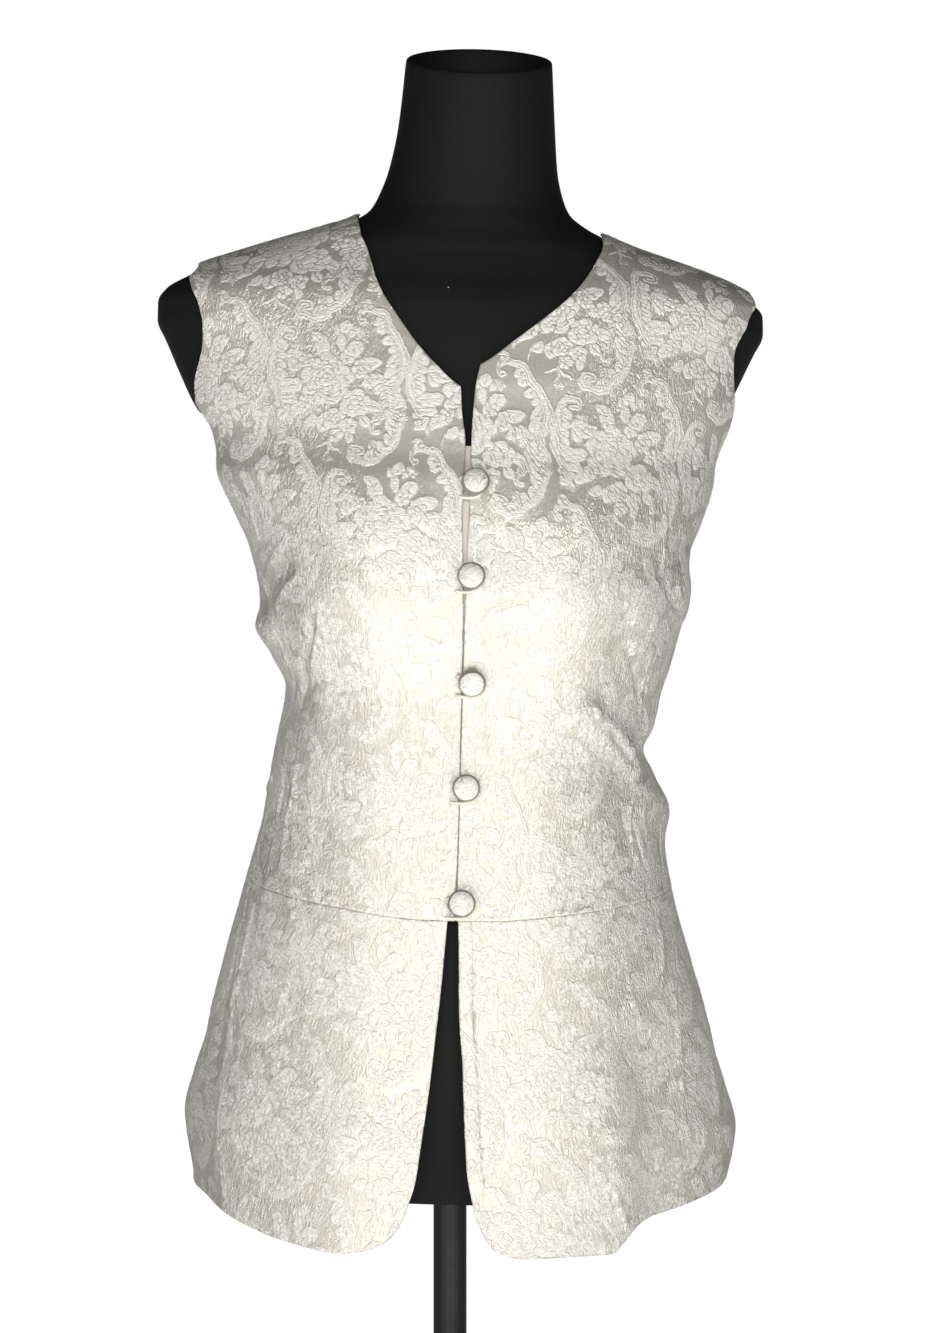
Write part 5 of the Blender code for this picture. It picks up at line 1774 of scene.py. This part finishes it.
def add_loops():
    """Five loops of rolled silk, each from the right front's edge round a button's shank."""
    up = LOOP_ROUTE["height"]
    xs, zs, _ = smooth_line({"across": LOOP_ROUTE["across"], "up": up, "half": 0.0 * up}, LOOP_STEPS)
    for number, (across, height) in enumerate(zip(BUTTONS["across"], BUTTONS["height"]), 1):
        centres = cloth(signed_angle(xs + across, zs + height), zs + height, -(TRIM_GAP + CORD_RADIUS))
        run = length_along(centres)
        end = np.minimum(run, run[-1] - run)
        radius = CORD_RADIUS * (1.0 - LOOP_UNEVEN + LOOP_UNEVEN * np.sin(run * LOOP_WAVES))
        radius = radius * np.clip(LOOP_END + end / LOOP_END_LENGTH, LOOP_END, 1.0)
        points = on_stand(tube_rings(centres, radius, LOOP_SPOKES)).reshape(-1, 3)
        name = f"loop_{number}"
        faces = ring_faces(LOOP_STEPS, LOOP_SPOKES)
        add_piece(name + "_cord", points, faces, [LOOP_SATIN], [name])


FORM_SPOKES = 144
SPOKE_CROWDING = 12.0
# The heights of its rings, in runs, its bottom edge as insets at heights, and the quarter round of its rim
FORM_HEIGHTS = ((0.0, 560.0, 85), (563.0, 660.0, 48), (666.0, 738.0, 12))
FORM_FOOT = ((1.2, 0.0), (0.3, 0.3))
QUARTER_ROUND = (0.0, 30.0, 60.0, 90.0)
RECESS_RINGS = 14
RECESS_START = 0.05


def form_ring(height, inset=0.0, slant_at=None):
    """One ring of the form's surface, drawn in by an inset, tilted toward the neck's slanted top."""
    even = np.linspace(0.0, 360.0, FORM_SPOKES, endpoint=False)
    angle = even + SPOKE_CROWDING * np.sin(2.0 * np.radians(even))
    names = ("right", "left", "front", "back", "square")
    section = {name: read(FORM, name, height) for name in names}
    for name in names[:4]:
        section[name] = section[name] - inset
    x, y = ring(section, angle)
    y = y - np.where(y < 0.0, bust(x, height, FORM_BUST), 0.0)
    level = height if slant_at is None else slant_at
    share = np.clip((level - SLANT_START) / (NECK_TOP - SLANT_START), 0.0, 1.0)
    z = level + y * math.tan(math.radians(NECK_SLANT)) * share
    return np.stack([x, y, z], axis=-1)


def add_form():
    """The dress form with the hollow in the top of its neck."""
    heights = np.concatenate([np.linspace(*run) for run in FORM_HEIGHTS])
    rings = [form_ring(0.0, inset, level) for inset, level in FORM_FOOT]
    rings += [form_ring(height) for height in heights[1:]]
    for outside, turns in ((True, QUARTER_ROUND), (False, QUARTER_ROUND[::-1])):
        for turn in np.radians(turns):
            inset, fall = RIM_ROUND * (1.0 - math.cos(turn)), RIM_ROUND * (1.0 - math.sin(turn))
            rings.append(form_ring(NECK_TOP, inset if outside else RIM_WIDTH - inset, NECK_TOP - fall))
    for share in np.linspace(RECESS_START, 1.0, RECESS_RINGS):
        level = NECK_TOP - RIM_ROUND - (RECESS_DEPTH - RIM_ROUND) * share
        rings.append(form_ring(NECK_TOP, RIM_WIDTH + RECESS_TAPER * share, level))
    points = on_stand(np.array(rings))
    faces = ring_faces(len(rings), FORM_SPOKES)
    add_piece("dress_form", points, faces, [FORM_SHELL], ["form_torso"])


def add_stand():
    """The flange, the pole and the round base keep their own shapes and get their finish."""
    for name in ("form_flange", "pole", "base_plate"):
        node = bpy.data.objects[name]
        node.data.materials.clear()
        node.data.materials.append(STEEL)


# Studio, in metres

WHITE = "#FFFFFF"
COOL = "#E6ECFA"
FLOOR_HALF = 6.0
# Each light: its place, what it faces, its width and height, its watts and its colour
LIGHTS = {
    "front_wall_top": ((0.0, -2.45, 1.14), (0.0, 0.0, 1.14), (2.8, 0.52), 23.5, WHITE),
    "front_wall_foot": ((0.0, -2.45, 0.6), (0.0, 0.0, 0.6), (2.8, 0.56), 12.0, WHITE),
    "front_floor": ((0.0, -1.2, 0.012), (0.0, -1.2, 1.0), (2.0, 1.9), 18.5, WHITE),
    "left_front_wall": ((-2.2, -1.5, 0.8), (0.0, 0.0, 0.8), (2.3, 1.4), 2.5, COOL),
    "right_front_wall": ((2.2, -1.5, 0.8), (0.0, 0.0, 0.8), (2.3, 1.4), 1.7, COOL),
    "left_wall": ((-2.3, 0.9, 0.65), (0.0, 0.9, 0.65), (3.4, 1.2), 1.8, COOL),
    "right_wall": ((2.3, 0.9, 0.65), (0.0, 0.9, 0.65), (3.4, 1.2), 1.3, COOL),
    "back_wall": ((0.0, 2.6, 0.8), (0.0, 0.0, 0.8), (3.6, 1.8), 9.0, WHITE),
}


def add_camera():
    """A level camera whose view is moved down to take in the whole garment."""
    data = bpy.data.cameras.new("camera")
    data.sensor_fit = "VERTICAL"
    data.sensor_height = SENSOR
    data.sensor_width = SENSOR
    data.lens = CAMERA_LENS
    data.shift_y = -(PHOTO_HEIGHT / 2.0 - HORIZON_ROW) / PHOTO_HEIGHT
    camera = bpy.data.objects.new("camera", data)
    camera.location = CAMERA_PLACE
    camera.rotation_euler = (math.radians(90.0), 0.0, 0.0)
    bpy.context.scene.collection.objects.link(camera)
    bpy.context.scene.camera = camera


def add_light(name, place, target, size, power, colour):
    """A soft rectangular light that the camera doesn't see."""
    data = bpy.data.lights.new(name, "AREA")
    data.shape = "RECTANGLE"
    data.size, data.size_y = size
    data.energy = power
    data.color = linear(colour)[:3]
    light = bpy.data.objects.new(name, data)
    light.location = place
    light.rotation_euler = (Vector(target) - Vector(place)).to_track_quat("-Z", "Y").to_euler()
    light.visible_camera = False
    bpy.context.scene.collection.objects.link(light)


def camera_sees(tree, otherwise, seen):
    """One strength for the camera and another for everything that the light falls on."""
    ray = add_node(tree, "ShaderNodeLightPath").outputs["Is Camera Ray"]
    return ranged(tree, ray, 0.0, 1.0, otherwise, seen)


def add_floor():
    """A pale floor."""
    corners = [(x * FLOOR_HALF, y * FLOOR_HALF, 0.0) for x, y in ((-1, -1), (1, -1), (1, 1), (-1, 1))]
    mesh = bpy.data.meshes.new("floor")
    mesh.from_pydata(corners, [], [(0, 1, 2, 3)])
    floor = bpy.data.objects.new("floor", mesh)
    bpy.context.scene.collection.objects.link(floor)
    material, tree, shader = new_material("studio_floor", Roughness=0.9)
    shader.inputs["Base Color"].default_value = linear("#C4C4C4")
    shader.inputs["Emission Color"].default_value = linear(WHITE)
    wire(tree, shader, Emission_Strength=camera_sees(tree, 0.15, 0.97))
    mesh.materials.append(material)
    floor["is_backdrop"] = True


def add_room():
    """A dim room that looks white to the camera."""
    world = bpy.data.worlds.new("studio")
    world.use_nodes = True
    bpy.context.scene.world = world
    room = world.node_tree.nodes["Background"]
    room.inputs["Color"].default_value = linear(WHITE)
    wire(world.node_tree, room, Strength=camera_sees(world.node_tree, 0.03, 1.0))


def add_studio():
    """The floor, the room, the soft lights and how bright the picture is."""
    add_floor()
    add_room()
    for name, settings in LIGHTS.items():
        add_light(name, *settings)
    view = bpy.context.scene.view_settings
    view.view_transform = "Standard"
    view.look = "None"
    view.exposure = 0.0
    view.gamma = 1.0


def write_sizes():
    """Measures the CAD box and the finished box, but keeps and writes neither."""
    boxes = {"cad": CAD_BOX, "visual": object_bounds()}
    {name: [list(corner) for corner in box] for name, box in boxes.items()}


add_camera()
add_studio()
add_waistcoat()
add_underlap()
add_buttons()
add_loops()
add_form()
add_stand()
write_sizes()
